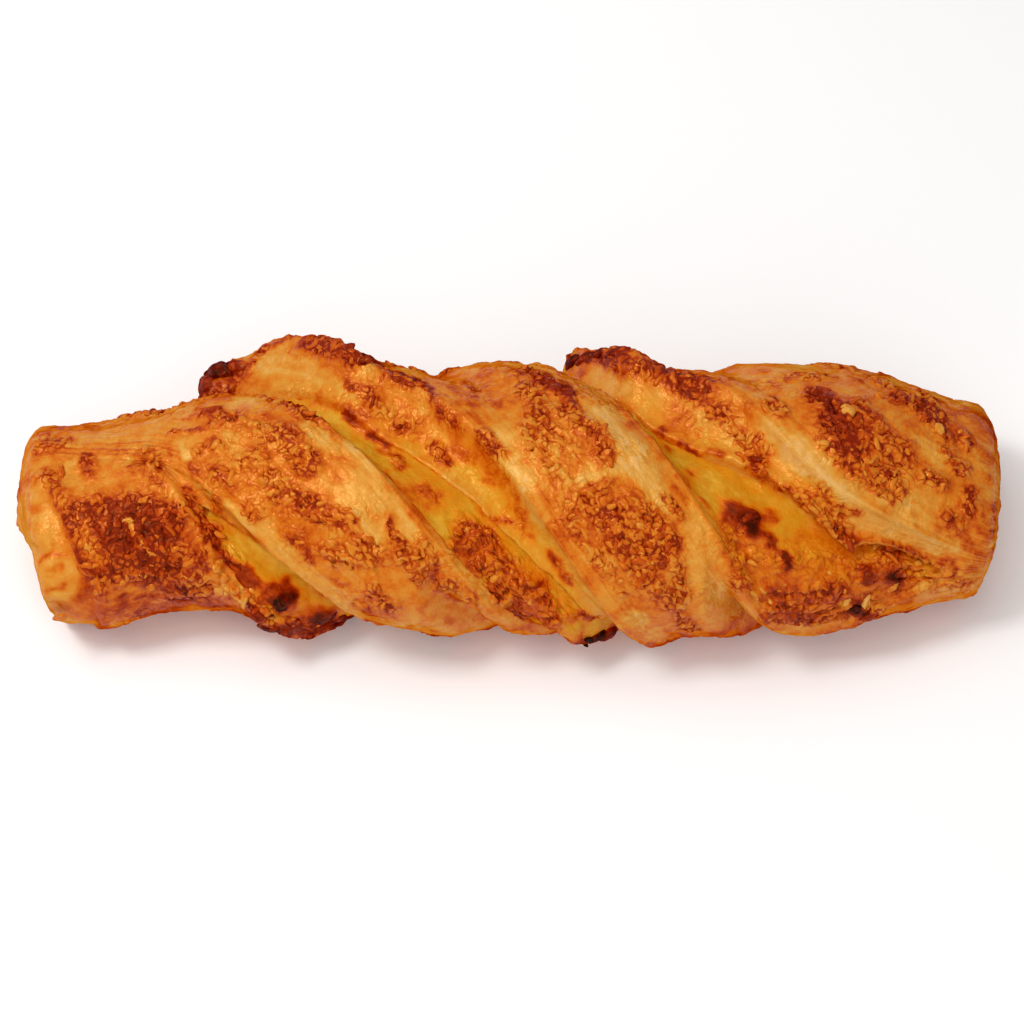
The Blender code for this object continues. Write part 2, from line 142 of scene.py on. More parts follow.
# The pale fold at the left end lies a step lower: angle, x of the step
FOLD_EDGE = ((-125, -96), (-90, -92.5), (-63, -93), (-37, -96.5), (-11, -100.5), (12, -109))
FOLD_STEP, FOLD_SOFTNESS = 1.2, 0.6
FOLD_FADE = 8.0  # degrees, past both ends of its edge
LUMPS = ((22.0, 0.9), (8.0, 0.5), (3.6, 0.2))  # unevenness of the dough: size, height
print("main shape:", LENGTH, "mm long, from", len(SECTIONS), "sections")


# %% Reading a table, and a rounded bump
def follow(table, x, column=1):
    """The smooth curve through a table's points, read at x."""
    places, values = np.array([(row[0], row[column]) for row in table], float).T
    x = np.clip(x, places[0], places[-1])
    slopes = np.gradient(values, places)
    left = np.clip(np.searchsorted(places, x, side="right") - 1, 0, len(places) - 2)
    width = places[left + 1] - places[left]
    s = (x - places[left]) / width
    return (
        (1 + 2 * s) * (1 - s) ** 2 * values[left]
        + s**2 * (3 - 2 * s) * values[left + 1]
        + s * (1 - s) ** 2 * width * slopes[left]
        - s**2 * (1 - s) * width * slopes[left + 1]
    )


def bump(distance, width):
    """1 at a distance of 0, falling away smoothly over width."""
    return np.exp(-((distance / width) ** 2))


def ease(value):
    """0 below 0, 1 above 1, and a soft S between."""
    value = np.clip(value, 0, 1)
    return value * value * (3 - 2 * value)


def rough(points, size, seed=0.0):
    """Smooth noise from -1 to 1 at each of an array of points, with bumps about size apart."""
    flat = (np.asarray(points, float).reshape(-1, 3) / size + seed).tolist()
    return np.array([noise.noise(p) for p in flat]).reshape(np.shape(points)[:-1])


# %% Angle and height of every place on the skin
def furrow(x, s, lip, hem, depth, floor, lobe):
    """Angle and height in a furrow at x, at share s of the way from its lip to its hem."""
    (lip_line, lip_rise), (hem_line, hem_rise) = lip, hem
    blend = s * s * (3 - 2 * s)
    ends = (1 - blend) * follow(lip_rise, x) + blend * follow(hem_rise, x)
    lowest = math.log(0.5) / np.log(follow(floor, x))  # the floor's place to this power is a half
    arch = np.clip(np.sin(math.pi * np.clip(s, 0, 1) ** lowest), 0, 1)
    trough = arch**FURROW_ROUNDNESS * np.maximum(follow(depth, x), 0)
    swell = follow(lobe, x) * bump(s - LOBE_PLACE, LOBE_WIDTH) * np.sin(math.pi * s)
    lean = LIP_LEAN * np.clip(follow(lip_rise, x) / FULL_LEAN_RISE, 0, 1) * bump(s, LEAN_REACH)
    angle = (1 - s) * follow(lip_line, x) + s * follow(hem_line, x) - lean * (1 - s)
    return angle, ends - trough + swell


def sheet(x, s, hem, lip, turn):
    """Angle and height on a sheet at x, at share s from its hem to its lip, whose angle is moved by turn."""
    (hem_line, hem_rise, hem_dip), (lip_line, lip_rise, lip_dip) = hem, lip
    height = CROWN * np.sin(math.pi * s)
    for from_line, rise, dip in ((s, hem_rise, hem_dip), (1 - s, lip_rise, lip_dip)):
        height = height + follow(rise, x) * bump(from_line, RISE_WIDTH)
        height = height - follow(dip, x) * bump(from_line - DIP_FROM_LINE, DIP_WIDTH)
    lean = LIP_LEAN * np.clip(follow(lip_rise, x) / FULL_LEAN_RISE, 0, 1) * bump(1 - s, RISE_WIDTH)
    angle = (1 - s) * follow(hem_line, x) + s * (follow(lip_line, x) + turn) - lean * s
    return angle, height


def band(kind, x, s):
    """Angle and height at share s of one of the four bands round the section at x."""
    if kind == "furrow AB":
        tables = FURROW_AB_DEPTH, FURROW_AB_FLOOR, FURROW_AB_LOBE
        return furrow(x, s, (LIP_A, LIP_A_RISE), (HEM_B, HEM_B_RISE), *tables)
    if kind == "furrow BA":
        tables = FURROW_BA_DEPTH, FURROW_BA_FLOOR, FURROW_BA_LOBE
        return furrow(x, s, (LIP_B, LIP_B_RISE), (HEM_A, HEM_A_RISE), *tables)
    if kind == "sheet B":
        return sheet(x, s, (HEM_B, HEM_B_RISE, HEM_B_DIP), (LIP_B, LIP_B_RISE, LIP_B_DIP), 0)
    return sheet(x, s, (HEM_A, HEM_A_RISE, HEM_A_DIP), (LIP_A, LIP_A_RISE, LIP_A_DIP), -360)


# %% From angle and height to a point
def rounded_end(x):
    """1 along the twist, falling to 0 at each tip."""
    past = np.clip((abs(x) - HALF_LENGTH + END_ROUNDING) / END_ROUNDING, 0, 1)
    return (1 - past**END_BLUNTNESS) ** (1 / END_BLUNTNESS)


def set_back(x, angle):
    """How far the lower front of an end is moved inwards along X."""
    low = (1 + np.cos(np.radians(angle - SLANT_TOWARDS))) / 2
    left = LEFT_SLANT * np.maximum(0, 1 - (HALF_LENGTH + x) / SLANT_REACH) ** 2
    right = RIGHT_SLANT * np.maximum(0, 1 - (HALF_LENGTH - x) / SLANT_REACH) ** 2
    return (left - right) * low * np.minimum(1, 2 * rounded_end(x))


def fold_step(x, angle):
    """How far the pale fold at the left end lies under the crust beside it."""
    nearest = (angle + 180) % 360 - 180
    first, last = FOLD_EDGE[0][0], FOLD_EDGE[-1][0]
    inside = bump(np.maximum(0, first - nearest) + np.maximum(0, nearest - last), FOLD_FADE)
    beyond = np.clip((x - follow(FOLD_EDGE, nearest)) / FOLD_SOFTNESS, -50, 50)  # or exp would overflow
    return FOLD_STEP * inside / (1 + np.exp(beyond))


def place(x, angle, height):
    """The points over the plain section at x, at an angle and a height, in millimetres."""
    half_width, half_height, axis_y, axis_z = (follow(SECTIONS, x, k) for k in (1, 2, 3, 4))
    across, up = np.sin(np.radians(angle)), np.cos(np.radians(angle))
    bare = np.stack(np.broadcast_arrays(x, half_width * across, half_height * up), -1)
    lumps = sum(high * rough(bare, size) for size, high in LUMPS)
    cap = rounded_end(x)
    height = (height + lumps - fold_step(x, angle)) * np.minimum(1, END_EVENNESS * cap)
    y = axis_y + (half_width + height) * cap * across
    z = axis_z + (half_height + height) * cap * up
    return np.stack(np.broadcast_arrays(x + set_back(x, angle), y, np.maximum(0, z)), -1)


# %% [markdown]
# ## The openings of the furrows
#
# The filling shows between two torn edges of pastry. The net's columns run along those edges, so that they
# stay smooth lines however the edges wander. Between them the pastry dips under the filling, which is a
# piece of its own and tucks in under both edges.

# %% Where the pastry opens over the filling
FILLING_ENDS = (-69.0, 97.0)
FILLING_TAPER = 16.0  # along x, over which the filling widens from each end
BLUNT_END = 0.15  # how wide its ends are, of its full width
# x, share of the furrow at the edge beside the lip, and at the edge beside the hem
OPENINGS = {
    "furrow AB": ((-69, 0.5, 0.9), (-40, 0.47, 0.95), (-20, 0.47, 0.95), (10, 0.36, 0.92), (97, 0.4, 0.85)),
    "furrow BA": (
        (-69, 0.2, 0.8), (-50, 0.12, 0.9), (0, 0.4, 0.9), (38, 0.52, 0.93), (45, 0.42, 0.93),
        (53.5, 0.26, 0.93), (60, 0.19, 0.93), (68, 0.21, 0.93), (70.5, 0.29, 0.93), (75, 0.33, 0.93),
        (78, 0.28, 0.93), (87, 0.34, 0.92), (97, 0.5, 0.85),
    ),
}
EDGE_WAVES = ((7.0, 0.022), (2.6, 0.014))  # size along x, height as a share of the furrow
HEM_WAVES = 0.5  # of that height, beside the hem
WAVE_SEEDS, HEM_SEED = {"furrow AB": 3.3, "furrow BA": 8.1}, 20
CHANNEL_DEPTH = 3.0  # how far the pastry dips under the filling
OPENING_SLOPE = 3  # the dip and the roll are full from a third of the taper inwards
# Where the pastry's edge over the filling is rolled and stands proud: x, height
EDGE_ROLL = {
    "furrow AB": ((-60, 0.2), (-30, 0.1), (0, 0.0), (30, 0.3)),
    "furrow BA": ((-60, 0.3), (30, 0.2), (42, 0.7), (50, 1.5), (72, 1.8), (84, 1.5), (95, 0.5)),
}
# How far the filling lies lower beside the lip: x, depth
FLOOR_LOWERED = {
    "furrow AB": ((-60, 0.6), (0, 0.8), (40, 0.6)),
    "furrow BA": ((-60, 0.6), (38, 0.8), (50, 1.4), (75, 1.5), (88, 0.8)),
}


def inside_ends(x):
    """How far inside the filling's two ends x is, from 0 at them to 1."""
    return np.clip(np.minimum(x - FILLING_ENDS[0], FILLING_ENDS[1] - x) / FILLING_TAPER, 0, 1)


def opening(kind, x):
    """The shares of a furrow at which the pastry opens and closes."""
    lip_side, hem_side = (follow(OPENINGS[kind], x, k) for k in (1, 2))
    wide = BLUNT_END + (1 - BLUNT_END) * np.sqrt(1 - (1 - inside_ends(x)) ** 2)
    line = np.stack(np.broadcast_arrays(x, 0 * x, 0 * x), -1)
    seed = WAVE_SEEDS[kind]
    for size, high in EDGE_WAVES:
        lip_side = lip_side + high * rough(line, size, seed)
        hem_side = hem_side + HEM_WAVES * high * rough(line, size, seed + HEM_SEED)
    middle = (lip_side + hem_side) / 2
    return middle + (lip_side - middle) * wide, middle + (hem_side - middle) * wide


# %% [markdown]
# ## A closed net
#
# Each large piece is a sphere from Blender's own operator, whose rings and columns are then moved to the
# piece's rings and columns. The poles close both ends, so there are no open seams.

# %% The net, its points as an array, and its directions
def net(name, rings, columns):
    """A sphere with that many rings between its poles. Gives the piece and each vertex's ring and column."""
    bm = bmesh.new()
    bmesh.ops.create_uvsphere(bm, u_segments=columns, v_segments=rings + 1, radius=1)
    mesh = bpy.data.meshes.new(name)
    bm.to_mesh(mesh)
    bm.free()
    piece = bpy.data.objects.new(name, mesh)
    bpy.context.scene.collection.objects.link(piece)
    co = np.empty(len(mesh.vertices) * 3)
    mesh.vertices.foreach_get("co", co)
    co = co.reshape(-1, 3)
    # The ring follows from a vertex's height on the sphere, and the column from its direction
    ring = np.rint(np.arccos(np.clip(-co[:, 2], -1, 1)) / math.pi * (rings + 1)).astype(int) - 1
    column = np.rint(np.arctan2(-co[:, 0], co[:, 1]) / math.tau * columns).astype(int) % columns
    return piece, ring, column


def shape_net(piece, ring, column, points):
    """Moves the net's vertices to an array of points, in mm, with the mean of the end ring at each pole."""
    rings = len(points)
    poles = points[0].mean(0), points[-1].mean(0)
    co = points[np.clip(ring, 0, rings - 1), column]
    co[ring < 0], co[ring >= rings] = poles
    piece.data.vertices.foreach_set("co", (co * MM).ravel())
    piece.data.update()
    piece.data.shade_smooth()
    return co


def directions(points):
    """The outward direction at every point of a net."""
    along = np.gradient(points, axis=0)
    around = np.roll(points, -1, axis=1) - np.roll(points, 1, axis=1)
    out = np.cross(around, along)
    return out / np.maximum(np.linalg.norm(out, axis=-1, keepdims=True), 1e-9)


def give(piece, name, ring, column, values):
    """Stores an array of values, one for every point of a net, as an attribute of the piece."""
    rings = len(values)
    flat = values[np.clip(ring, 0, rings - 1), column]
    piece.data.attributes.new(name, "FLOAT", "POINT").data.foreach_set("value", flat.astype(np.float32))


# %% Stations along the twist: even along it, and closer over the rounded ends
END_RINGS, BODY_RINGS = 24, 400
closeness = (np.arange(END_RINGS) + 0.5) / END_RINGS
over_end = END_ROUNDING * (1 - closeness**END_BLUNTNESS) ** (1 / END_BLUNTNESS)
straight = HALF_LENGTH - END_ROUNDING
body = np.linspace(-straight, straight, BODY_RINGS)
stations = np.concatenate([-straight - over_end, body, straight + over_end[::-1]])
print("stations:", len(stations), "from", stations[0], "to", stations[-1])

# %% Columns round the twist
SHEET_COLUMNS, LIP_COLUMNS, HEM_COLUMNS = 80, 14, 4
# Shares of an opening's width: the columns stand close together down both walls of the dip
CHANNEL = (0.0, 0.012, 0.03, 0.06, 0.12, 0.5, 0.88, 0.94, 0.97, 0.988, 1.0)
CHANNEL_WALL = 0.06  # of an opening's width
ROLL_WIDTH = 0.07  # of a furrow's width


def crust_grid():
    """Angle, height and share of its band at every place on the skin, and the band of every column."""
    x = stations[:, None]
    angles, heights, shares, kinds = [], [], [], []
    for kind in ("furrow AB", "sheet B", "furrow BA", "sheet A"):
        if kind.startswith("sheet"):
            s = np.broadcast_to(np.arange(SHEET_COLUMNS) / SHEET_COLUMNS, (len(x), SHEET_COLUMNS))
            sunk = 0
        else:
            lip_side, hem_side = (edge[:, None] for edge in opening(kind, stations))
            channel = np.array(CHANNEL)[None, :]
            before = lip_side * np.arange(LIP_COLUMNS) / LIP_COLUMNS
            within = lip_side + (hem_side - lip_side) * channel
            after = hem_side + (1 - hem_side) * (np.arange(HEM_COLUMNS) + 1) / (HEM_COLUMNS + 1)
            s = np.hstack([before, within, after])
            inwards = 0 * lip_side + np.minimum(channel, 1 - channel)
            inwards = np.hstack([0 * before, inwards, 0 * after])
            opened = ease(OPENING_SLOPE * inside_ends(x))
            roll = follow(EDGE_ROLL[kind], x) * opened
            sunk = CHANNEL_DEPTH * ease(inwards / CHANNEL_WALL) * opened
            sunk = sunk - roll * bump(np.maximum(0, lip_side - s), ROLL_WIDTH) * (s <= lip_side)
        angle, height = band(kind, x, s)
        angles.append(angle)
        heights.append(height - sunk)
        shares.append(s)
        kinds += [kind] * s.shape[1]
    return np.hstack(angles), np.hstack(heights), np.hstack(shares), np.array(kinds)


angle, height, share, kind_of = crust_grid()
crust_base = place(stations[:, None], angle, height)
crust_out = directions(crust_base)
print("crust net:", crust_base.shape, "and", crust_base[..., 2].max(), "mm high")

# %% The filling's nets, one for each furrow
FILLING_RINGS, FILLING_TOP, FILLING_UNDER = 330, 60, 8
TUCK, TUCK_DEPTH = 0.055, 0.9  # how far it goes in under the pastry, of the opening's width, and down in mm
FILLING_SINK, FILLING_THICKNESS = 0.5, 1.7
FLOOR_WIDTH = 0.35  # of the opening's width, over which FLOOR_LOWERED fades
END_DEPTH, END_SLOPE = 2.0, 4  # both ends of the filling go down under the crust
FLUSH_REACH = 0.4  # of the opening's width, over which the filling rises to the pastry's level
# How nearly it gets to that level beside the hem, and beside the lip against x
HEM_FLUSH = {"furrow AB": 0.3, "furrow BA": 0.9}
LIP_FLUSH = {
    "furrow AB": ((-36, 0), (-24, 0.9), (8, 0.9), (20, 0.4), (30, 0)),
    "furrow BA": ((-60, 0), (90, 0)),
}


def filling_grid(kind, x):
    """Angle and height of the filling in a furrow, shown side first, and its shares of opening and furrow."""
    x = x[:, None]
    lip_side, hem_side = opening(kind, x)
    reach = np.linspace(-TUCK, 1 + TUCK, FILLING_TOP)
    back = np.linspace(1 + TUCK, -TUCK, FILLING_UNDER + 2)[1:-1]
    f = np.concatenate([reach, back])[None, :]
    s = lip_side + (hem_side - lip_side) * f
    angle, height = band(kind, x, s)
    edge = ease(1 - np.minimum(f + TUCK, 1 + TUCK - f) / (2 * TUCK))
    hem_flush = HEM_FLUSH[kind] * ease((f - (1 - FLUSH_REACH)) / FLUSH_REACH) * (1 - ease((f - 1) / TUCK))
    lip_flush = follow(LIP_FLUSH[kind], x) * ease((FLUSH_REACH - f) / FLUSH_REACH) * (1 - ease(-f / TUCK))
    lowered = (FILLING_SINK + TUCK_DEPTH * edge) * (1 - (hem_flush + lip_flush))
    lowered = lowered + follow(FLOOR_LOWERED[kind], x) * bump(f, FLOOR_WIDTH)
    lowered = lowered + END_DEPTH * (1 - ease(END_SLOPE * inside_ends(x)))
    under = np.concatenate([np.zeros(FILLING_TOP), np.ones(FILLING_UNDER)])[None, :]
    lowered = np.where(under > 0, FILLING_SINK + TUCK_DEPTH + FILLING_THICKNESS * (1 - edge), lowered)
    return angle, height - lowered, f + 0 * x, s


filling_x = np.linspace(*FILLING_ENDS, FILLING_RINGS)
filling_base, filling_shares = {}, {}
for kind in OPENINGS:
    around, over, of_opening, of_furrow = filling_grid(kind, filling_x)
    filling_base[kind] = place(filling_x[:, None], around, over)
    filling_shares[kind] = of_opening, of_furrow
print("filling nets:", {kind: points.shape for kind, points in filling_base.items()})

# %% The camera, as the photograph was taken
PIXEL = 0.2245  # mm of the view plane for each step of the picture
PICTURE = 1024
LENS, SENSOR = 100.0, 36.0
DISTANCE = LENS / SENSOR * PICTURE * PIXEL
ELEVATION = math.radians(60)
LOOK_AT = Vector((0, -2.8, 19.5))
TOWARDS_EYE = Vector((0, -math.cos(ELEVATION), math.sin(ELEVATION)))
UP, RIGHT = Vector((0, math.sin(ELEVATION), math.cos(ELEVATION))), Vector((1, 0, 0))
MIDDLE = (510, 500)  # the place in the picture that shows the point looked at
EYE = LOOK_AT + TOWARDS_EYE * DISTANCE
EYE = EYE + RIGHT * (PICTURE / 2 - MIDDLE[0]) * PIXEL - UP * (PICTURE / 2 - MIDDLE[1]) * PIXEL

camera = bpy.data.objects.new("camera", bpy.data.cameras.new("camera"))
camera.data.lens, camera.data.sensor_width = LENS, SENSOR
camera.matrix_world = Matrix.Translation(EYE * MM) @ Matrix((RIGHT, UP, TOWARDS_EYE)).transposed().to_4x4()
bpy.context.scene.collection.objects.link(camera)
bpy.context.scene.camera = camera
print("camera:", [round(v) for v in EYE], "mm")

# %% [markdown]
# ## Browning, painted in strokes
#
# Baking turns pastry and cheese from cream to gold, amber, red-brown and black. One number from 0 to 1 says
# how far each place has gone. Noise alone could spread it, but it would brown the wrong places. So strokes
# set it, as a brush would: from one place to another in the picture, with a radius in millimetres and the
# browning that it leaves. Each is laid on the first surface that the camera sees there.

# %% Strokes: from x, y, to x, y in the picture, radius in mm, browning, and how many shreds of cheese
# Dough that stayed pale, because it lay in a fold or stretched thin
PALE = (
    (18, 500, 19, 560, 3.4, 0.24), (24, 470, 20, 500, 2.6, 0.3), (34, 500, 36, 545, 4.0, 0.10),
    (44, 560, 60, 596, 3.2, 0.2), (110, 436, 170, 428, 4, 0.30), (180, 447, 186, 456, 1.4, 0.08),
    (310, 424, 322, 440, 2.2, 0.14), (344, 503, 352, 514, 1.6, 0.08), (262, 526, 322, 590, 2.4, 0.2),
    (230, 505, 262, 530, 1.8, 0.2), (330, 590, 352, 612, 2.4, 0.25), (352, 448, 385, 500, 2.0, 0.15),
    (352, 514, 376, 540, 2.0, 0.14), (408, 528, 416, 546, 1.8, 0.14), (385, 500, 440, 560, 1.4, 0.2),
    (500, 436, 524, 487, 2.2, 0.08), (524, 487, 545, 540, 1.8, 0.12), (545, 540, 584, 592, 2.0, 0.12),
    (590, 596, 640, 620, 1.6, 0.15), (600, 412, 630, 455, 3.0, 0.06), (630, 455, 666, 508, 2.6, 0.10),
    (586, 474, 640, 462, 2.2, 0.12), (640, 462, 655, 505, 1.8, 0.12), (700, 530, 720, 600, 5.0, 0.24),
    (590, 560, 598, 566, 1.4, 0.12), (768, 428, 800, 458, 3.0, 0.10), (795, 455, 846, 493, 3.4, 0.05),
    (850, 500, 900, 520, 2.4, 0.12), (850, 516, 950, 549, 2.6, 0.2), (926, 446, 938, 458, 2.2, 0.2),
    (870, 500, 920, 505, 4.0, 0.27), (910, 560, 922, 575, 1.8, 0.12), (690, 395, 715, 440, 2.0, 0.25),
    (245, 355, 300, 375, 3.5, 0.2), (300, 380, 345, 398, 2.4, 0.2), (596, 375, 650, 400, 2.6, 0.2),
    (720, 440, 770, 470, 2.6, 0.22), (770, 470, 800, 490, 2.6, 0.25),
)
# Browned cheese, and crust that caught the heat
BROWN = (
    (40, 450, 64, 444, 1.9, 0.66, 3), (88, 457, 91, 472, 1.7, 0.72, 2), (44, 472, 54, 488, 1.5, 0.68, 3),
    (54, 488, 73, 524, 0.8, 0.6, 3), (73, 524, 84, 556, 0.7, 0.62, 2), (150, 451, 153, 460, 1.7, 0.6, 3),
    (156, 466, 156, 478, 1.6, 0.64, 3), (84, 560, 100, 575, 2.2, 0.6, 3), (92, 600, 168, 610, 3.2, 0.66, 0),
    (168, 604, 225, 601, 2.4, 0.66, 0), (75, 590, 150, 594, 0.7, 0.78, 0),
    (150, 594, 228, 605, 0.7, 0.74, 0), (130, 580, 215, 600, 0.7, 0.7, 0),
    (205, 413, 218, 412, 1.4, 0.74, 3), (216, 422, 232, 418, 2.0, 0.6, 7), (171, 434, 200, 430, 0.8, 0.6, 1),
    (196, 453, 204, 448, 1.3, 0.62, 3), (212, 437, 216, 446, 1.2, 0.62, 2),
    (192, 464, 198, 469, 1.1, 0.66, 1), (218, 472, 228, 482, 1.9, 0.6, 4), (217, 495, 218, 508, 1.1, 0.6, 1),
    (222, 522, 230, 532, 1.7, 0.58, 2), (188, 490, 197, 504, 1.2, 0.68, 2),
    (192, 512, 214, 540, 1.6, 0.66, 4), (250, 428, 280, 434, 2.2, 0.5, 10),
    (282, 434, 308, 456, 2.6, 0.6, 20), (245, 464, 262, 456, 1.8, 0.56, 6),
    (300, 458, 310, 466, 2.0, 0.64, 8), (268, 476, 298, 494, 2.0, 0.56, 12),
    (282, 497, 318, 508, 2.0, 0.66, 14), (318, 508, 350, 524, 2.2, 0.66, 16),
    (247, 504, 256, 514, 1.6, 0.5, 2), (296, 540, 308, 552, 1.9, 0.7, 3), (318, 548, 330, 556, 1.6, 0.56, 4),
    (342, 520, 352, 534, 1.8, 0.62, 8), (338, 545, 352, 560, 1.8, 0.5, 6),
    (366, 545, 382, 560, 2.2, 0.54, 8), (388, 526, 400, 546, 1.1, 0.64, 4),
    (400, 555, 420, 580, 1.4, 0.6, 7), (418, 545, 432, 560, 2.0, 0.52, 5),
    (432, 572, 440, 584, 1.7, 0.64, 3), (374, 592, 388, 606, 1.9, 0.64, 4),
    (452, 586, 470, 600, 1.8, 0.5, 5), (464, 384, 472, 392, 1.4, 0.56, 1), (500, 368, 512, 374, 1.8, 0.5, 3),
    (524, 372, 540, 378, 1.8, 0.72, 6), (524, 388, 536, 400, 1.8, 0.58, 6),
    (536, 412, 545, 434, 2.2, 0.62, 14), (566, 412, 582, 424, 2.0, 0.58, 8),
    (594, 428, 606, 460, 2.0, 0.6, 12), (552, 436, 574, 452, 2.4, 0.5, 10),
    (528, 424, 536, 446, 1.6, 0.48, 6), (540, 450, 560, 480, 2.0, 0.42, 6),
    (576, 508, 604, 494, 2.8, 0.58, 18), (606, 512, 622, 532, 2.6, 0.72, 18),
    (632, 502, 664, 528, 2.4, 0.6, 22), (582, 530, 600, 548, 2.6, 0.54, 16),
    (618, 540, 642, 562, 3.4, 0.64, 34), (652, 545, 662, 560, 2.0, 0.7, 12),
    (636, 570, 656, 590, 2.4, 0.62, 16), (600, 560, 622, 584, 2.2, 0.5, 10),
    (656, 590, 676, 606, 2.0, 0.6, 9), (668, 500, 678, 516, 1.3, 0.58, 4),
    (670, 538, 676, 550, 1.4, 0.66, 5), (676, 560, 684, 600, 1.6, 0.52, 6),
    (682, 618, 694, 628, 1.8, 0.62, 5), (770, 402, 782, 414, 1.7, 0.58, 4),
    (794, 377, 820, 379, 1.6, 0.58, 5), (860, 408, 874, 432, 2.8, 0.68, 14),
    (872, 442, 900, 450, 3.2, 0.66, 18), (846, 462, 882, 480, 3.2, 0.62, 22),
    (886, 480, 898, 492, 1.9, 0.64, 7), (900, 398, 928, 414, 2.8, 0.72, 18),
    (938, 416, 946, 432, 2.2, 0.7, 8), (918, 392, 930, 400, 1.8, 0.58, 5),
    (958, 432, 968, 442, 1.8, 0.62, 5), (948, 456, 960, 468, 2.0, 0.62, 6),
    (928, 476, 942, 484, 1.8, 0.64, 6), (972, 490, 970, 512, 1.6, 0.66, 4),
    (944, 514, 954, 524, 1.6, 0.58, 1), (974, 526, 977, 530, 1.0, 0.6, 0), (988, 478, 989, 483, 0.7, 0.6, 0),
    (872, 378, 886, 384, 1.6, 0.56, 4), (818, 436, 826, 450, 1.2, 0.5, 2),
    (664, 374, 692, 388, 1.8, 0.74, 5), (700, 398, 720, 412, 2.2, 0.66, 8),
    (682, 376, 692, 380, 1.4, 0.6, 2), (728, 425, 740, 438, 1.8, 0.48, 4), (757, 438, 762, 452, 1.7, 0.6, 5),
    (624, 362, 636, 370, 1.8, 0.7, 3), (660, 374, 674, 386, 1.8, 0.76, 4),
    (820, 488, 840, 512, 1.6, 0.52, 5), (852, 508, 860, 514, 1.0, 0.6, 1), (866, 540, 874, 546, 1.4, 0.5, 2),
    (884, 544, 904, 556, 1.6, 0.68, 3), (756, 590, 764, 602, 1.6, 0.34, 3),
    (752, 469, 803, 502, 1.5, 0.6, 3), (803, 500, 850, 534, 2.4, 0.5, 7), (832, 530, 854, 543, 1.7, 0.72, 3),
    # The thin stroke from (888, 542) is painted shade: a dark line where the lip overhangs the filling
    (748, 452, 762, 470, 1.9, 0.6, 4), (888, 542, 957, 565, 0.7, 0.66, 0),
)
# The darkest cheese, the charred edges of the lips, and a dark line of painted shade where the lip over
# furrow BA overhangs the filling
DARK = (
    (206, 394, 236, 372, 3.0, 0.84, 4), (236, 372, 262, 350, 1.7, 0.7, 2), (60, 512, 96, 590, 2.2, 0.66, 8),
    (100, 560, 190, 585, 3.4, 0.74, 14), (180, 575, 215, 590, 2.4, 0.64, 6),
    (656, 368, 700, 388, 3.0, 0.78, 5), (78, 512, 134, 504, 2.2, 0.78, 14),
    (130, 512, 177, 516, 2.2, 0.84, 16), (106, 522, 160, 538, 4.2, 0.85, 22),
    (116, 544, 172, 556, 3.0, 0.86, 12), (146, 508, 168, 546, 2.4, 0.86, 4),
    (180, 548, 200, 562, 2.6, 0.68, 5), (184, 528, 190, 540, 1.4, 0.62, 2),
    (150, 535, 162, 560, 2.2, 0.9, 10), (96, 566, 176, 564, 2.8, 0.78, 26),
    (134, 512, 140, 516, 1.2, 0.92, 0), (202, 388, 206, 394, 1.5, 0.92, 0),
    (216, 372, 230, 366, 1.7, 0.94, 0), (212, 384, 222, 382, 1.6, 0.8, 0), (238, 366, 246, 368, 1.0, 0.7, 0),
    (262, 346, 290, 338, 1.1, 0.62, 0), (306, 342, 350, 356, 1.7, 0.76, 3),
    (350, 356, 382, 366, 1.7, 0.78, 3), (388, 374, 414, 382, 1.6, 0.74, 3),
    (424, 388, 436, 396, 1.1, 0.74, 1), (346, 383, 358, 387, 1.3, 0.66, 0),
    (369, 393, 378, 406, 1.2, 0.84, 2), (385, 412, 398, 428, 1.4, 0.86, 3),
    (404, 424, 416, 428, 1.4, 0.64, 1), (443, 413, 465, 428, 1.5, 0.68, 5),
    (482, 438, 500, 452, 2.0, 0.64, 6), (546, 384, 568, 394, 2.0, 0.84, 10),
    (566, 400, 574, 408, 1.6, 0.7, 3), (566, 361, 588, 362, 1.3, 0.97, 0),
    (590, 358, 626, 354, 1.6, 0.84, 2), (820, 396, 832, 408, 2.6, 0.82, 8),
    (834, 420, 848, 444, 3.4, 0.84, 16), (918, 404, 930, 420, 1.8, 0.82, 5),
    # The thin strokes from (757, 477) to (853, 545) are painted shade: a dark line where the lip overhangs the
    # filling
    (826, 408, 836, 416, 1.4, 0.9, 0), (757, 477, 784, 492, 0.6, 0.84, 0), (800, 505, 808, 508, 0.6, 0.8, 0),
    (840, 541, 853, 545, 0.7, 0.84, 0),
)
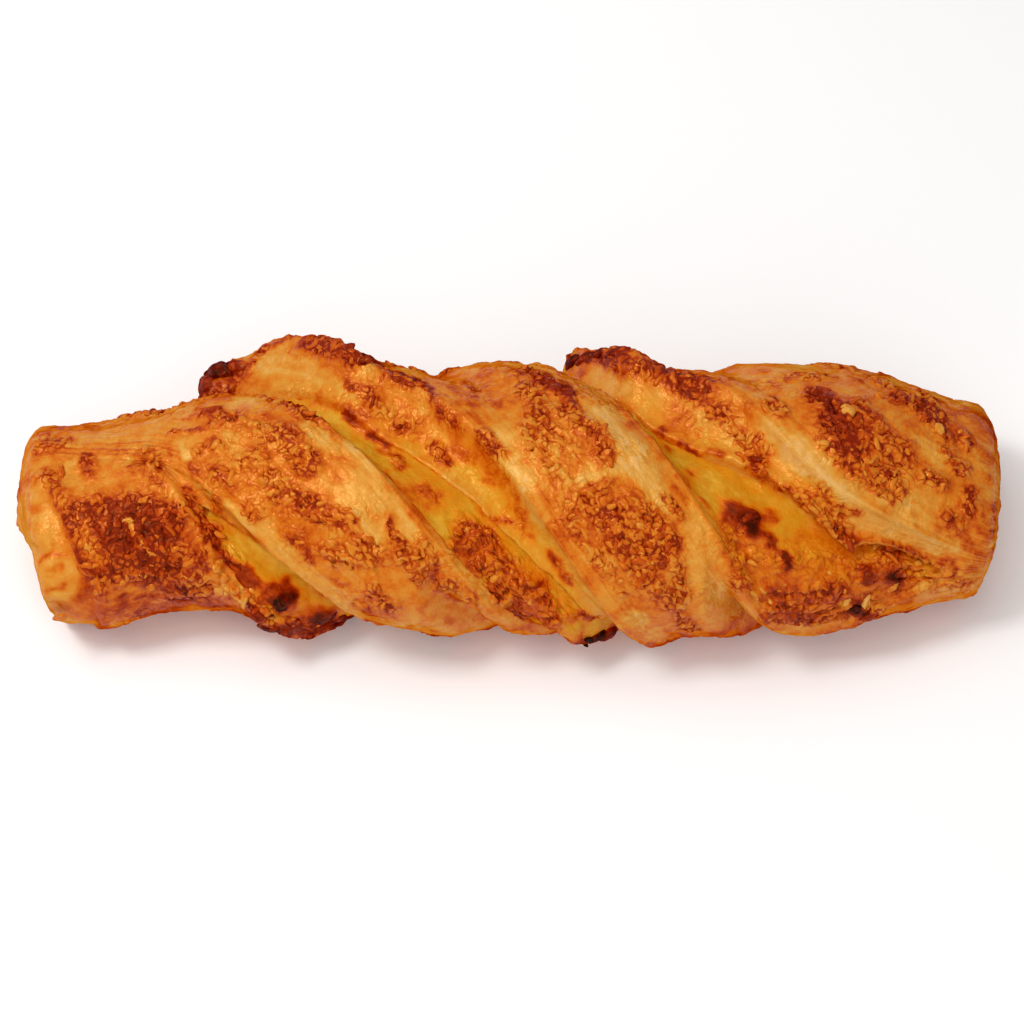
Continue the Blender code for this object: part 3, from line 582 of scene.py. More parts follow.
# Spots on the filling and on the lobes beside it
IN_FURROWS = (
    (385, 412, 405, 445, 2.6, 0.42, 0), (905, 560, 965, 586, 2.6, 0.46, 2),
    (815, 535, 850, 562, 3.0, 0.42, 0), (735, 548, 790, 592, 5.0, 0.46, 1),
    (800, 574, 885, 592, 5.0, 0.44, 1), (790, 602, 872, 608, 3.4, 0.58, 4),
    (876, 562, 905, 592, 3.4, 0.6, 1), (914, 567, 936, 577, 2.4, 0.44, 0),
    (906, 550, 952, 572, 0.7, 0.76, 0), (912, 586, 950, 576, 0.6, 0.58, 0),
    (848, 548, 882, 560, 2.0, 0.46, 0), (690, 455, 800, 515, 3.0, 0.16, 0),
    (452, 470, 492, 500, 3.0, 0.14, 0), (510, 540, 580, 605, 2.6, 0.18, 0),
    (405, 455, 450, 500, 3.0, 0.2, 0), (84, 538, 99, 562, 1.7, 0.5, 3), (202, 526, 236, 560, 2.0, 0.7, 8),
    (220, 550, 228, 560, 1.6, 0.86, 2), (233, 546, 267, 577, 1.8, 0.1, 0),
    (242, 570, 254, 582, 2.0, 0.76, 0), (266, 592, 284, 583, 1.7, 0.72, 0),
    (270, 606, 291, 598, 2.2, 0.97, 0), (292, 620, 308, 626, 2.2, 0.6, 3),
    (318, 617, 340, 620, 2.3, 0.92, 0), (256, 618, 290, 633, 2.4, 0.86, 3),
    (292, 626, 318, 634, 1.8, 0.82, 2), (258, 606, 266, 616, 1.8, 0.72, 3),
    (318, 395, 350, 412, 1.6, 0.5, 0), (348, 417, 356, 422, 1.2, 0.78, 0),
    (370, 436, 386, 447, 1.0, 0.82, 0), (394, 458, 402, 466, 1.5, 0.6, 1),
    (434, 446, 446, 464, 1.5, 0.68, 5), (456, 448, 462, 453, 1.3, 0.56, 0),
    (423, 490, 434, 496, 1.9, 0.56, 1), (486, 480, 491, 485, 0.9, 0.5, 0), (490, 522, 507, 517, 0.6, 0.7, 0),
    (507, 517, 522, 529, 0.6, 0.72, 0), (462, 536, 486, 536, 2.2, 0.6, 5),
    (458, 543, 464, 549, 1.3, 0.95, 0), (474, 560, 482, 572, 1.4, 0.74, 4),
    (490, 588, 497, 596, 1.6, 0.86, 2), (506, 578, 528, 592, 2.2, 0.62, 6),
    (538, 592, 544, 598, 1.4, 0.8, 1), (549, 602, 553, 606, 1.1, 0.95, 0),
    (524, 612, 546, 622, 2.0, 0.66, 6), (468, 545, 545, 610, 4.2, 0.58, 12),
    (552, 554, 557, 562, 1.5, 0.66, 2), (564, 574, 568, 580, 1.2, 0.6, 1),
    (556, 596, 566, 608, 1.6, 0.26, 0), (584, 612, 590, 616, 1.3, 0.72, 1),
    (660, 430, 663, 434, 0.9, 0.76, 0), (680, 444, 696, 452, 1.0, 0.82, 0),
    (709, 451, 717, 454, 1.1, 0.68, 0), (734, 515, 748, 522, 2.9, 0.85, 0),
    (748, 523, 754, 531, 1.5, 0.97, 0), (763, 532, 771, 545, 1.1, 0.76, 0),
    (782, 556, 786, 566, 1.2, 0.95, 0), (738, 552, 764, 572, 3.2, 0.46, 2),
    (810, 548, 828, 556, 2.4, 0.32, 0), (862, 570, 868, 580, 1.3, 0.84, 1),
    (891, 574, 897, 582, 1.4, 0.92, 0), (884, 548, 896, 556, 1.6, 0.66, 1),
    (850, 607, 864, 611, 1.8, 1.0, 0), (832, 588, 842, 598, 2.2, 0.7, 4),
    (786, 586, 828, 610, 3.2, 0.58, 12), (772, 609, 812, 620, 2.0, 0.7, 8),
    (737, 578, 746, 585, 1.7, 0.6, 3), (771, 589, 779, 595, 1.4, 0.72, 2), (876, 588, 888, 600, 1.8, 0.5, 3),
    (822, 560, 840, 572, 2.2, 0.44, 2), (842, 603, 848, 606, 0.9, 0.3, 3),
    (864, 603, 871, 606, 0.9, 0.32, 3), (222, 588, 250, 598, 1.4, 0.36, 10),
    (266, 608, 274, 616, 1.4, 0.36, 4),
)
# Crust that melted cheese ran over: the last number is how yellow it turned
SOAKED = (
    (330, 398, 400, 440, 2.6, 0.7), (400, 436, 500, 476, 4.2, 0.85), (470, 462, 545, 560, 4.6, 0.9),
    (540, 545, 580, 605, 3.4, 0.8), (640, 402, 700, 450, 2.6, 0.7), (700, 440, 830, 500, 2.6, 0.6),
    (672, 440, 700, 500, 2.4, 0.7), (700, 500, 738, 566, 2.6, 0.6), (262, 560, 300, 590, 2.0, 0.6),
    (240, 376, 330, 392, 2.2, 0.45),
)
# Creases in the pale fold and beside it. The strokes under 1 mm wide paint shade into the crease lines,
# and the wider ones are browned crust
CREASES = (
    (25, 484, 33, 514, 0.8, 0.5), (30, 522, 54, 546, 0.7, 0.5), (36, 556, 63, 552, 0.7, 0.64),
    (44, 590, 62, 584, 0.7, 0.56), (60, 610, 74, 616, 1.6, 0.5), (48, 574, 60, 566, 0.8, 0.46),
    (92, 584, 98, 602, 2.4, 0.62), (82, 602, 100, 616, 2.6, 0.6),
)
# Where the outline draws in: the last number is how deep, in mm
DENTS = (
    (36, 590, 52, 614, 3.4, 1.7), (32, 551, 40, 556, 1.6, 1.2), (945, 606, 994, 562, 4.2, 1.7),
    (60, 424, 150, 412, 3.4, 0.8),
)
# Edges where the layers of the dough show as streaks: the last number is how strongly
LAYERED = (
    (92, 598, 250, 604, 3.6, 0.6), (60, 447, 150, 444, 2.0, 0.4), (110, 452, 170, 470, 2.4, 0.4),
    (60, 620, 180, 618, 3.0, 0.6), (850, 500, 980, 560, 3.0, 0.3), (870, 594, 960, 586, 3.2, 0.8),
    (940, 586, 990, 545, 3.0, 0.8), (990, 440, 991, 540, 2.6, 0.5),
)

# %% Lay the strokes on the surface
SIGHT_STEPS = 6  # enough to find the place on a line of sight that is nearest to the twist


def tree_of(grids):
    """A search tree over several nets."""
    corners, faces = [], []
    for points in grids:
        rings, columns = points.shape[:2]
        first = sum(len(c) for c in corners)
        at = first + np.arange(rings * columns).reshape(rings, columns)
        right = np.roll(at, -1, axis=1)
        faces += np.stack([at[:-1], right[:-1], right[1:], at[1:]], -1).reshape(-1, 4).tolist()
        corners.append(points.reshape(-1, 3))
    return BVHTree.FromPolygons(np.concatenate(corners).tolist(), faces)


base_tree = tree_of([crust_base, *filling_base.values()])


def in_view(x, y):
    """The first point of the surface at a place in the picture, and the direction it faces."""
    aim = LOOK_AT + RIGHT * (x - MIDDLE[0]) * PIXEL + UP * (MIDDLE[1] - y) * PIXEL
    sight = (aim - EYE).normalized()
    spot, out, _, _ = base_tree.ray_cast(EYE, sight)
    if spot is None:  # beside the twist: the place on the line of sight that is nearest to it
        spot = aim
        for _ in range(SIGHT_STEPS):
            nearest, out, _, _ = base_tree.find_nearest(spot)
            spot = EYE + sight * (nearest - EYE).dot(sight)
    return np.array(spot), np.array(out if out.dot(TOWARDS_EYE) > 0 else -out)


def lay(strokes):
    """Strokes in the picture as (start, end, direction, radius, browning, shreds) on the surface."""
    laid = []
    for x1, y1, x2, y2, radius, browning, *shreds in strokes:
        (start, out_1), (end, out_2) = in_view(x1, y1), in_view(x2, y2)
        laid.append((start, end, out_1 + out_2, radius, browning, shreds[0] if shreds else 0))
    return laid


STROKES = {
    "pale": PALE, "layered": LAYERED, "creases": CREASES, "dents": DENTS, "soaked": SOAKED,
    "brown": BROWN, "dark": DARK, "furrows": IN_FURROWS,
}
laid = {name: lay(strokes) for name, strokes in STROKES.items()}
print("strokes:", {name: len(strokes) for name, strokes in laid.items()})

# %% [markdown]
# The picture shows only the front and the top. The back and the underside get strokes of the same kinds
# from a seeded draw, so that the twist looks the same from every side.

# %% Strokes on the far side
FAR_STROKES, FAR_SEED = 46, 4
BARE_LEFT, BARE_RIGHT = 40, 24  # rings at the two ends where none starts
LOWEST_STROKE = 5  # mm over the table
FACES_AWAY = -0.1  # a place faces away from the camera where it faces it less than this
FAR_RINGS, FAR_RADII, FAR_SHREDS = (4, 26), (1.2, 2.8), (2, 14)
FAR_BROWNINGS = (0.5, 0.56, 0.6, 0.66, 0.72, 0.8)

draw = random.Random(FAR_SEED)
far_side = []
while len(far_side) < FAR_STROKES:
    ring, column = draw.randrange(BARE_LEFT, len(stations) - BARE_RIGHT), draw.randrange(crust_base.shape[1])
    spot, out = crust_base[ring, column], crust_out[ring, column]
    shown = out @ np.array(TOWARDS_EYE) > FACES_AWAY
    if kind_of[column].startswith("furrow") or spot[2] < LOWEST_STROKE or shown:
        continue
    other = crust_base[min(len(stations) - 1, ring + draw.randrange(*FAR_RINGS)), column]
    radius = draw.uniform(*FAR_RADII)
    browning = draw.choice(FAR_BROWNINGS)
    far_side.append((spot, other, out, radius, browning, draw.randrange(*FAR_SHREDS)))
laid["far side"] = far_side
print("strokes on the far side:", len(far_side))


# %% Paint
STROKE_FALL, STROKE_POWER = 0.7, 3  # a stroke is half as strong at its radius, and soon nothing
STROKE_REACH = 5  # radii, past which a stroke isn't worked out
WRAP, WRAP_FADE = 0.1, 0.5  # how far a stroke goes round an edge, and how it fades there, as cosines
WANDER_SEEDS = (11.0, 23.0, 37.0)
HALO_WIDTH, HALO_LEVEL, HALO_SHARE = 1.7, 0.36, 0.16
CHEESE_WIDTH, LEAST_CHEESE, CHEESE_SHREDS = 1.1, 0.4, 6  # the last: shreds that add 1 to the least


def paint(points, out, values, strokes, warp):
    """Pulls the value of every point near a stroke towards that stroke's, on the side it faces."""
    where = points + warp
    for start, end, facing, radius, value, _ in strokes:
        reach = np.abs(end - start).sum() + STROKE_REACH * radius
        near = np.abs(where - (start + end) / 2).sum(-1) < reach
        at = where[near]
        line = end - start
        t = np.clip((at - start) @ line / max(line @ line, 1e-6), 0, 1)
        distance = np.linalg.norm(at - (start + t[:, None] * line), axis=-1)
        weight = np.exp(-STROKE_FALL * (distance / radius) ** STROKE_POWER)
        weight = weight * ease((out[near] @ facing / np.linalg.norm(facing) + WRAP) / WRAP_FADE)
        values[near] += (value - values[near]) * weight
    return values


def wander(points, *sizes):
    """A small sideways shift of each point, from waves of (size, height), to make outlines ragged."""
    shift = 0
    for size, high in sizes:
        shift = shift + high * np.stack([rough(points, size, seed) for seed in WANDER_SEEDS], -1)
    return shift


def halo(strokes):
    """A wide ring of orange glaze round each stroke."""
    return [
        (start, end, facing, HALO_WIDTH * radius, HALO_LEVEL + HALO_SHARE * browning, 0)
        for start, end, facing, radius, browning, _ in strokes
    ]


def cheesy(strokes):
    """The same strokes, setting how much cheese is baked on instead of the browning."""
    return [
        (start, end, facing, CHEESE_WIDTH * radius, min(1.0, LEAST_CHEESE + count / CHEESE_SHREDS), 0)
        for start, end, facing, radius, _, count in strokes
        if count
    ]


def marked(strokes, value=1.0):
    """The same strokes, all leaving one value."""
    return [(*stroke[:4], value, 0) for stroke in strokes]


# %% Browning of the crust, and how much cheese is baked on it
BARE_CRUST = 0.37
CLOUDS = ((0.20, 13.0, 5), (0.16, 5.0, 9), (0.10, 2.0, 2))  # how much browner, size in mm, seed
GLAZE_SPOTS, SPOT_SIZE, SPOT_EDGE = 0.14, 4.2, 0.3  # spots of orange glaze
LOW_SIDE, LOW_BROWNER = 13, 0.20  # under this height in mm, the crust is drier and browner
FURROW_PALER = 0.04
CHEESE_SPREAD, CHEESE_CLOUDS, MELTED = 0.16, 0.4, 1.1

crust_warp = wander(crust_base, (4.0, 1.3), (1.5, 0.9))
level = np.full(crust_base.shape[:2], BARE_CRUST)
level += sum(much * rough(crust_base, size, seed) for much, size, seed in CLOUDS)
level += GLAZE_SPOTS * ease(rough(crust_base + crust_warp, SPOT_SIZE, 61) / SPOT_EDGE)
low = ease(1 - crust_base[..., 2] / LOW_SIDE)
level += LOW_BROWNER * low
furrowed = np.array([kind.startswith("furrow") for kind in kind_of])
level[:, furrowed] -= FURROW_PALER
cheese = np.clip(CHEESE_SPREAD + CHEESE_CLOUDS * rough(crust_base, 9.0, 14), 0, 1)
for name in ("brown", "dark"):
    level = paint(crust_base, crust_out, level, halo(laid[name]), crust_warp)
for name in ("pale", "far side", "brown", "dark", "furrows"):
    level = paint(crust_base, crust_out, level, laid[name], crust_warp)
    cheese = paint(crust_base, crust_out, cheese, cheesy(laid[name]), crust_warp)
cheese *= 1.0 + MELTED * rough(crust_base, 5.0, 31)  # melted smooth in places
cheese = np.clip(cheese, 0, 1)
soaked = paint(crust_base, crust_out, np.zeros_like(level), laid["soaked"], crust_warp)
print("cheese on the crust: mean", cheese.mean())

# %% The pale fold at the left end, the browned rim of the crust beside it, and the creases
FOLD_WAVES, FOLD_PALE, FOLD_CLOUDS = 1.6, 0.28, 0.16
CAP_FROM, CAP_WIDTH, CAP_PALE, CAP_CLOUDS = 104, 5, 0.3, 0.2  # the end face beyond this x to the left
CAP_LOW = 0.6  # how much less its low part is pale
EVENED = 0.75  # how far the crust's own browning gives way there
RIM_BROWNER, RIM_CLOUDS = 0.16, 1.5

fold = fold_step(stations[:, None], angle) / FOLD_STEP
fold_rim = 4 * fold * (1 - fold)  # 1 halfway down the step, and 0 above and below it
pale_fold = fold_step(stations[:, None] + FOLD_WAVES * rough(crust_base, 5.0, 19), angle) / FOLD_STEP
level += (FOLD_PALE + FOLD_CLOUDS * rough(crust_base, 4.0, 18) - level) * EVENED * pale_fold
cheese *= 1 - fold
cap = ease((-stations - CAP_FROM) / CAP_WIDTH)[:, None] * (1 - CAP_LOW * low)
level += (CAP_PALE + CAP_CLOUDS * rough(crust_base, 6.0, 21) - level) * EVENED * cap
level += RIM_BROWNER * fold_rim * (1 + RIM_CLOUDS * rough(crust_base, 3.0, 17))
# The thin crease strokes paint shade into the crease lines
level = paint(crust_base, crust_out, level, laid["creases"], crust_warp)
creased = paint(crust_base, crust_out, np.zeros_like(level), marked(laid["creases"]), crust_warp)
print("pale fold:", (fold > 0.5).sum(), "places of", fold.size)

# %% Both end faces show the edges of the pastry's layers, as rings round the axis
RING_SPACING, RING_WAVES, RING_BROWNER = 2.0, 1.4, 0.24

axis = np.stack([follow(SECTIONS, stations, 3), follow(SECTIONS, stations, 4)], -1)[:, None]
from_axis = np.linalg.norm(crust_base[..., 1:] - axis, axis=-1)
turned = np.radians(angle)
on_rings = (from_axis / RING_SPACING, RING_WAVES * np.cos(turned), RING_WAVES * np.sin(turned))
rings = rough(np.stack(on_rings, -1), 1.0, 27)
rings *= (1 - rounded_end(stations))[:, None]
level += RING_BROWNER * rings
print("browning of the crust: mean", level.mean())

# %% [markdown]
# ## Relief of the crust
#
# Browned cheese bubbles up in blisters with winding seams between them, and the torn layers beside a lip or
# a hem stand up as ribs. A displacement in the material could show this, but the mesh itself would stay
# smooth. So every point is moved outwards by a height in mm, worked out from the same numbers as the colour.

# %% Relief of the crust, in mm
BLISTER, SEAM = 2.9, 0.2  # size in mm, and how wide the seams are, as a value of the noise
SWOLLEN, DOME, BETWEEN_DOMES = 0.30, 0.9, 0.35
LIP_STREAKS, HEM_STREAKS = (0.72, 0.2), (0.16, 0.14)  # where in a sheet the layers show, and how they fade
STREAKS, PALE_STREAKS = 0.55, 0.5
RIBS, RIB_LENGTH, RIB_HEIGHT = 34, 16, 0.24  # across a sheet, in mm and in mm
CRACKLE, BURNT_CRACKLE, PITS = 0.16, 0.40, 0.12
RIM_HEIGHT, CREASE_DEPTH, RING_HEIGHT = 0.3, 0.5, 0.35
SEAM_BROWNER, DOME_PALER = 0.07, 0.18


def blisters(points, seed):
    """0 on the winding seams between blisters, 1 well inside one."""
    return ease(np.abs(rough(points, BLISTER, seed)) / SEAM)


streaky = np.zeros_like(level)
for kind in ("sheet A", "sheet B"):
    here = kind_of == kind
    beside_lip = ease((share[:, here] - LIP_STREAKS[0]) / LIP_STREAKS[1])
    beside_hem = ease((HEM_STREAKS[0] - share[:, here]) / HEM_STREAKS[1])
    streaky[:, here] = STREAKS * np.maximum(beside_lip, beside_hem)
layered = marked(laid["pale"], PALE_STREAKS) + marked(laid["layered"])
streaky = paint(crust_base, crust_out, streaky, layered, crust_warp)
streaky *= np.minimum(1, rounded_end(stations))[:, None] ** 2

ribs = rough(np.stack([share * RIBS, stations[:, None] / RIB_LENGTH + 0 * share, 0 * share], -1), 1.0, 3)
burnt = ease((level - 0.55) / 0.2)
domes = blisters(crust_base + crust_warp, 7.0)
dented = paint(crust_base, crust_out, np.zeros_like(level), laid["dents"], 0.5 * crust_warp)
relief = SWOLLEN * ease((level - 0.42) / 0.2) + cheese * (DOME * domes - BETWEEN_DOMES)
relief += (CRACKLE + BURNT_CRACKLE * burnt) * rough(crust_base, 1.9, 6)
relief += (
    RIB_HEIGHT * ribs * streaky + PITS * rough(crust_base, 1.3, 8) + RIM_HEIGHT * fold_rim
    - CREASE_DEPTH * creased + RING_HEIGHT * rings - dented
)
crust = crust_base + crust_out * relief[..., None]
crust[..., 2] = np.maximum(0, crust[..., 2])
crust_level = np.clip(level + cheese * (SEAM_BROWNER - DOME_PALER * domes), 0, 1)
print("relief of the crust:", relief.min(), "to", relief.max(), "mm")

# %% Build the crust
DRYNESS = 0.8  # of the sheen, that the underside goes without

pastry, ring, column = net("flaky_crust", len(stations), crust.shape[1])
shape_net(pastry, ring, column, crust)
give(pastry, "browning", ring, column, crust_level)
give(pastry, "layers", ring, column, streaky)
give(pastry, "cheese", ring, column, cheese)
give(pastry, "soaked", ring, column, soaked)
give(pastry, "dry", ring, column, DRYNESS * low)
print("crust:", len(pastry.data.polygons), "faces")

# %% Unroll the crust, so that streaks can follow the layers
# Where each band starts round the twist, and its width, in mm
ACROSS = {"furrow AB": (0, 24), "sheet B": (24, 46), "furrow BA": (70, 24), "sheet A": (94, 46)}
GIRTH = 140
# A face with one corner past the first of these and one before the second closes the round
CLOSING_FROM, CLOSING_TO = 130, 20
UV_UNIT = 100  # mm for each step of the UV map

unrolled = pastry.data.uv_layers.new(name="unrolled")
corner = np.empty(len(pastry.data.loops), int)
pastry.data.loops.foreach_get("vertex_index", corner)
across = np.stack([ACROSS[k][0] + ACROSS[k][1] * share[:, i] for i, k in enumerate(kind_of)], -1)
u = across[np.clip(ring, 0, len(stations) - 1), column][corner]
starts = np.empty(len(pastry.data.polygons), int)
totals = np.empty(len(pastry.data.polygons), int)
pastry.data.polygons.foreach_get("loop_start", starts)
pastry.data.polygons.foreach_get("loop_total", totals)
highest = np.repeat(np.maximum.reduceat(u, starts), totals)
u = np.where((highest > CLOSING_FROM) & (u < CLOSING_TO), u + GIRTH, u)
v = stations[np.clip(ring, 0, len(stations) - 1)][corner]
unrolled.data.foreach_set("uv", np.stack([u, v], -1).astype(np.float32).ravel() / UV_UNIT)
print("unrolled:", u.max(), "mm round and", v.max() - v.min(), "mm along")

# %% [markdown]
# ## The filling
#
# Melted cheese lies in both furrows. It could be one long ribbon through the twist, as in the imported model,
# but only its two shown sides matter here. So each furrow gets a closed strip of its own, which tucks in
# under the pastry on both sides, and the two are joined to one piece.

# %% Build the filling
LOBES = {"furrow AB": FURROW_AB_LOBE, "furrow BA": FURROW_BA_LOBE}
FULL_LOBE, LOBE_CREST, LOBE_SPREAD = 5, 0.74, 0.2
FILLING_LEVEL, LOBE_BROWNER = 0.14, 0.34
FILLING_CLOUDS = ((0.34, 6.0, 5), (0.16, 2.2, 9))  # how much browner, size in mm, seed
ORANGE_SPOTS, ORANGE_FROM, ORANGE_EDGE = 0.36, 0.06, 0.5
ROLL_SHADE, ROLL_FROM, ROLL_SHADE_WIDTH = 0.5, 0.4, 0.035  # painted shade: darker under a rolled edge of the pastry
# Painted shade: darker and more orange along both edges of the filling, where the pastry shades it
PAINTED_EDGE_SHADE, EDGE_WIDTH = 0.2, 0.1
FILLING_SWOLLEN, FILLING_BETWEEN_DOMES = 0.45, 0.4
FILLING_BUMPS = ((0.42, 3.0, 4), (0.14, 1.2, 7))  # height, size in mm, seed
LOWEST_FILLING = 0.02  # mm over the table


def make_filling(kind):
    """The filling of one furrow, and its points in mm."""
    base, x = filling_base[kind], filling_x[:, None]
    f, s = filling_shares[kind]
    out = directions(base)
    warp = wander(base, (3.0, 1.0), (1.2, 0.5))
    lobe = np.clip(follow(LOBES[kind], x) / FULL_LOBE, 0, 1) * bump(s - LOBE_CREST, LOBE_SPREAD)
    level = FILLING_LEVEL + LOBE_BROWNER * lobe
    for much, size, seed in FILLING_CLOUDS:
        level = level + much * rough(base, size, seed)
    level += ORANGE_SPOTS * ease((rough(base + warp, 4.2, 63) - ORANGE_FROM) / ORANGE_EDGE)
    # Painted shade: the filling is darker under a rolled edge of the pastry and along both of its edges
    under_roll = np.clip(follow(EDGE_ROLL[kind], x) - ROLL_FROM, 0, 1)
    under_roll = under_roll * bump(np.maximum(0, f), ROLL_SHADE_WIDTH)
    beside_edge = bump(np.maximum(0, np.minimum(f, 1 - f)), EDGE_WIDTH)
    level = level + ROLL_SHADE * under_roll + PAINTED_EDGE_SHADE * beside_edge
    cheese = np.clip(0.3 * lobe - 0.04 + 0.3 * rough(base, 7.0, 14), 0, 1)
    for name in ("dark", "furrows"):
        level = paint(base, out, level, laid[name], warp)
        cheese = paint(base, out, cheese, cheesy(laid[name]), warp)
    cheese = np.clip(cheese * (1.0 + MELTED * rough(base, 5.0, 31)), 0, 1)
    domes = blisters(base + warp, 3.0)
    raised = FILLING_SWOLLEN * ease((level - 0.4) / 0.3)
    for high, size, seed in FILLING_BUMPS:
        raised = raised + high * rough(base, size, seed)
    raised = raised + cheese * (DOME * domes - FILLING_BETWEEN_DOMES)
    points = base + out * raised[..., None]
    points[..., 2] = np.maximum(LOWEST_FILLING, points[..., 2])
    piece, ring, column = net("cheese " + kind, len(x), base.shape[1])
    shape_net(piece, ring, column, points)
    give(piece, "browning", ring, column, np.clip(level + cheese * (0.08 - 0.16 * domes), 0, 1))
    give(piece, "cheese", ring, column, cheese)
    return piece, points


def joined(name, parts):
    """Several pieces as one mesh."""
    with bpy.context.temp_override(active_object=parts[0], selected_editable_objects=parts):
        bpy.ops.object.join()
    parts[0].name = parts[0].data.name = name
    return parts[0]


filling_parts, filling_points = zip(*(make_filling(kind) for kind in filling_base))
filling = joined("melted_cheese", list(filling_parts))
print("filling:", len(filling.data.polygons), "faces")

# %% [markdown]
# ## Shreds of cheese
#
# Each shred is a small blunt bar that melted into the crust and browned. It is tan on top and darker where it
# meets the crust: partly the cheese's own colour, partly painted light on its top and painted shade at its
# foot. They could be separate objects, but over a thousand of those would be slow. So one bar is made once and
# repeated as arrays in a single mesh. There are many, so each has only a few dozen faces.

# %% One shred, made once
SHRED_SEGMENTS, SHRED_RINGS = 7, 9
BLUNTNESS = 2.4  # 2 is an ellipsoid, and more is nearer to a box
bm = bmesh.new()
bmesh.ops.create_uvsphere(bm, u_segments=SHRED_SEGMENTS, v_segments=SHRED_RINGS, radius=0.5)
bar = np.array([v.co.zyx for v in bm.verts])
bar *= (0.5 / (np.abs(bar) ** BLUNTNESS).sum(1) ** (1 / BLUNTNESS))[:, None]
# Swapping x and z turned the faces inside out, so each is listed backwards
bar_faces = [[v.index for v in face.verts][::-1] for face in bm.faces]
bm.free()
print("one shred:", len(bar), "corners and", len(bar_faces), "faces")

# %% Scatter the shreds
SHRED_SIZE = np.array((3.0, 1.6, 1.15))  # mm
SHRED_LENGTHS, SHRED_WIDTHS = (0.4, 0.6, 0.8, 1.0, 1.3), (0.7, 1.2)  # of that size
SHRED_UNEVENNESS, SHRED_BUMPS, SHRED_BEND = 0.24, 0.7, 0.4
SUNK, ENDS_SUNK = 0.33, 0.2  # mm that a shred lies in the crust, and that its ends lie deeper
TOP_TONE, TOP_PALER, TONE_DRAW = 0.86, 0.05, (-0.16, 0.12)
TOP_EDGE = 2.2  # how soon a shred's side gives way to its top
CLOSEST, LATEST = 0.95, 80  # mm between a shred and the latest of the others
LOWEST_SHRED = 2  # mm over the table
STROKE_SPREAD = 1.15  # radii
# The shreds of a stroke lie mostly one way: that way's mean and spread, and a shred's spread round it
MOSTLY, TURNED = (0.6, 0.9), 0.6

skin_tree = tree_of([crust, *filling_points])
chooser = random.Random(21)
taken, shred_points, shred_tones = [], [], []


def stood(out, heading):
    """Rows of the directions along, beside and out of the surface, turned by heading."""
    side = out.cross(Vector((1, 0, 0))).normalized()
    return np.array(Matrix.Rotation(heading, 3, out) @ Matrix((side.cross(out), side, out)).transposed()).T


def add_shred(spot, out, top_level, side_level, size, heading, bend):
    """One shred on the surface, turned by heading and bent sideways, mostly sunk in the crust."""
    shape = bar * SHRED_SIZE * size
    shape = shape * (1 + SHRED_UNEVENNESS * rough(bar + len(taken), SHRED_BUMPS)[:, None])
    shape[:, 1] += bend * size[0] * (2 * bar[:, 0]) ** 2
    shape[:, 2] -= SUNK + ENDS_SUNK * (2 * bar[:, 0]) ** 2
    # Painted light and shade: paler towards the top, darker at the foot where the shred meets the crust
    top = ease(TOP_EDGE * bar[:, 2])
    shred_points.append(np.array(spot) + shape @ stood(out, heading))
    shred_tones.append(side_level + (top_level - side_level) * top)


def scatter(strokes, crowding):
    """Shreds over each stroke, by a seeded draw, none too close to another."""
    for start, end, facing, radius, browning, count in strokes:
        facing = Vector(facing).normalized()
        side = facing.cross(Vector((1, 0, 0))).normalized()
        mostly = chooser.gauss(*MOSTLY)
        for _ in range(round(count * crowding)):
            t, swing = chooser.random(), chooser.uniform(0, math.tau)
            far = radius * STROKE_SPREAD * math.sqrt(chooser.random())
            sideways = (side * math.cos(swing) + side.cross(facing) * math.sin(swing)) * far
            spot, out, _, _ = skin_tree.find_nearest(Vector(start + t * (end - start)) + sideways)
            out = out if out.dot(facing) > 0 else -out
            if spot.z < LOWEST_SHRED or any((spot - other).length < CLOSEST for other in taken[-LATEST:]):
                continue
            taken.append(spot)
            top = TOP_TONE * browning - TOP_PALER + chooser.uniform(*TONE_DRAW)
            long = chooser.choice(SHRED_LENGTHS)
            size = [long, chooser.uniform(*SHRED_WIDTHS), chooser.uniform(*SHRED_WIDTHS)]
            heading, bend = chooser.gauss(mostly, TURNED), chooser.uniform(-SHRED_BEND, SHRED_BEND)
            add_shred(spot, out, top, browning, np.array(size), heading, bend)


for name, crowding in (("brown", 1.25), ("dark", 1.15), ("furrows", 0.7), ("far side", 1.25)):
    scatter(laid[name], crowding)
mesh = bpy.data.meshes.new("cheese_shreds")
faces = [[i + n * len(bar) for i in face] for n in range(len(taken)) for face in bar_faces]
mesh.from_pydata((np.concatenate(shred_points) * MM).tolist(), [], faces)
tones = mesh.attributes.new("browning", "FLOAT", "POINT")
tones.data.foreach_set("value", np.concatenate(shred_tones).astype(np.float32))
mesh.shade_smooth()
shreds = bpy.data.objects.new("cheese_shreds", mesh)
bpy.context.scene.collection.objects.link(shreds)
print("shreds:", len(taken), "with", len(mesh.polygons), "faces")

# %% [markdown]
# ## Lumps
#
# Some bits stand further out: the charred ends of torn flaps, blisters that burst, and a few thick pieces of
# cheese that stayed pale. They could be sculpted, but only their tops show, so each is a ball from Blender's
# own operator, with a rough skin, pressed into the crust.

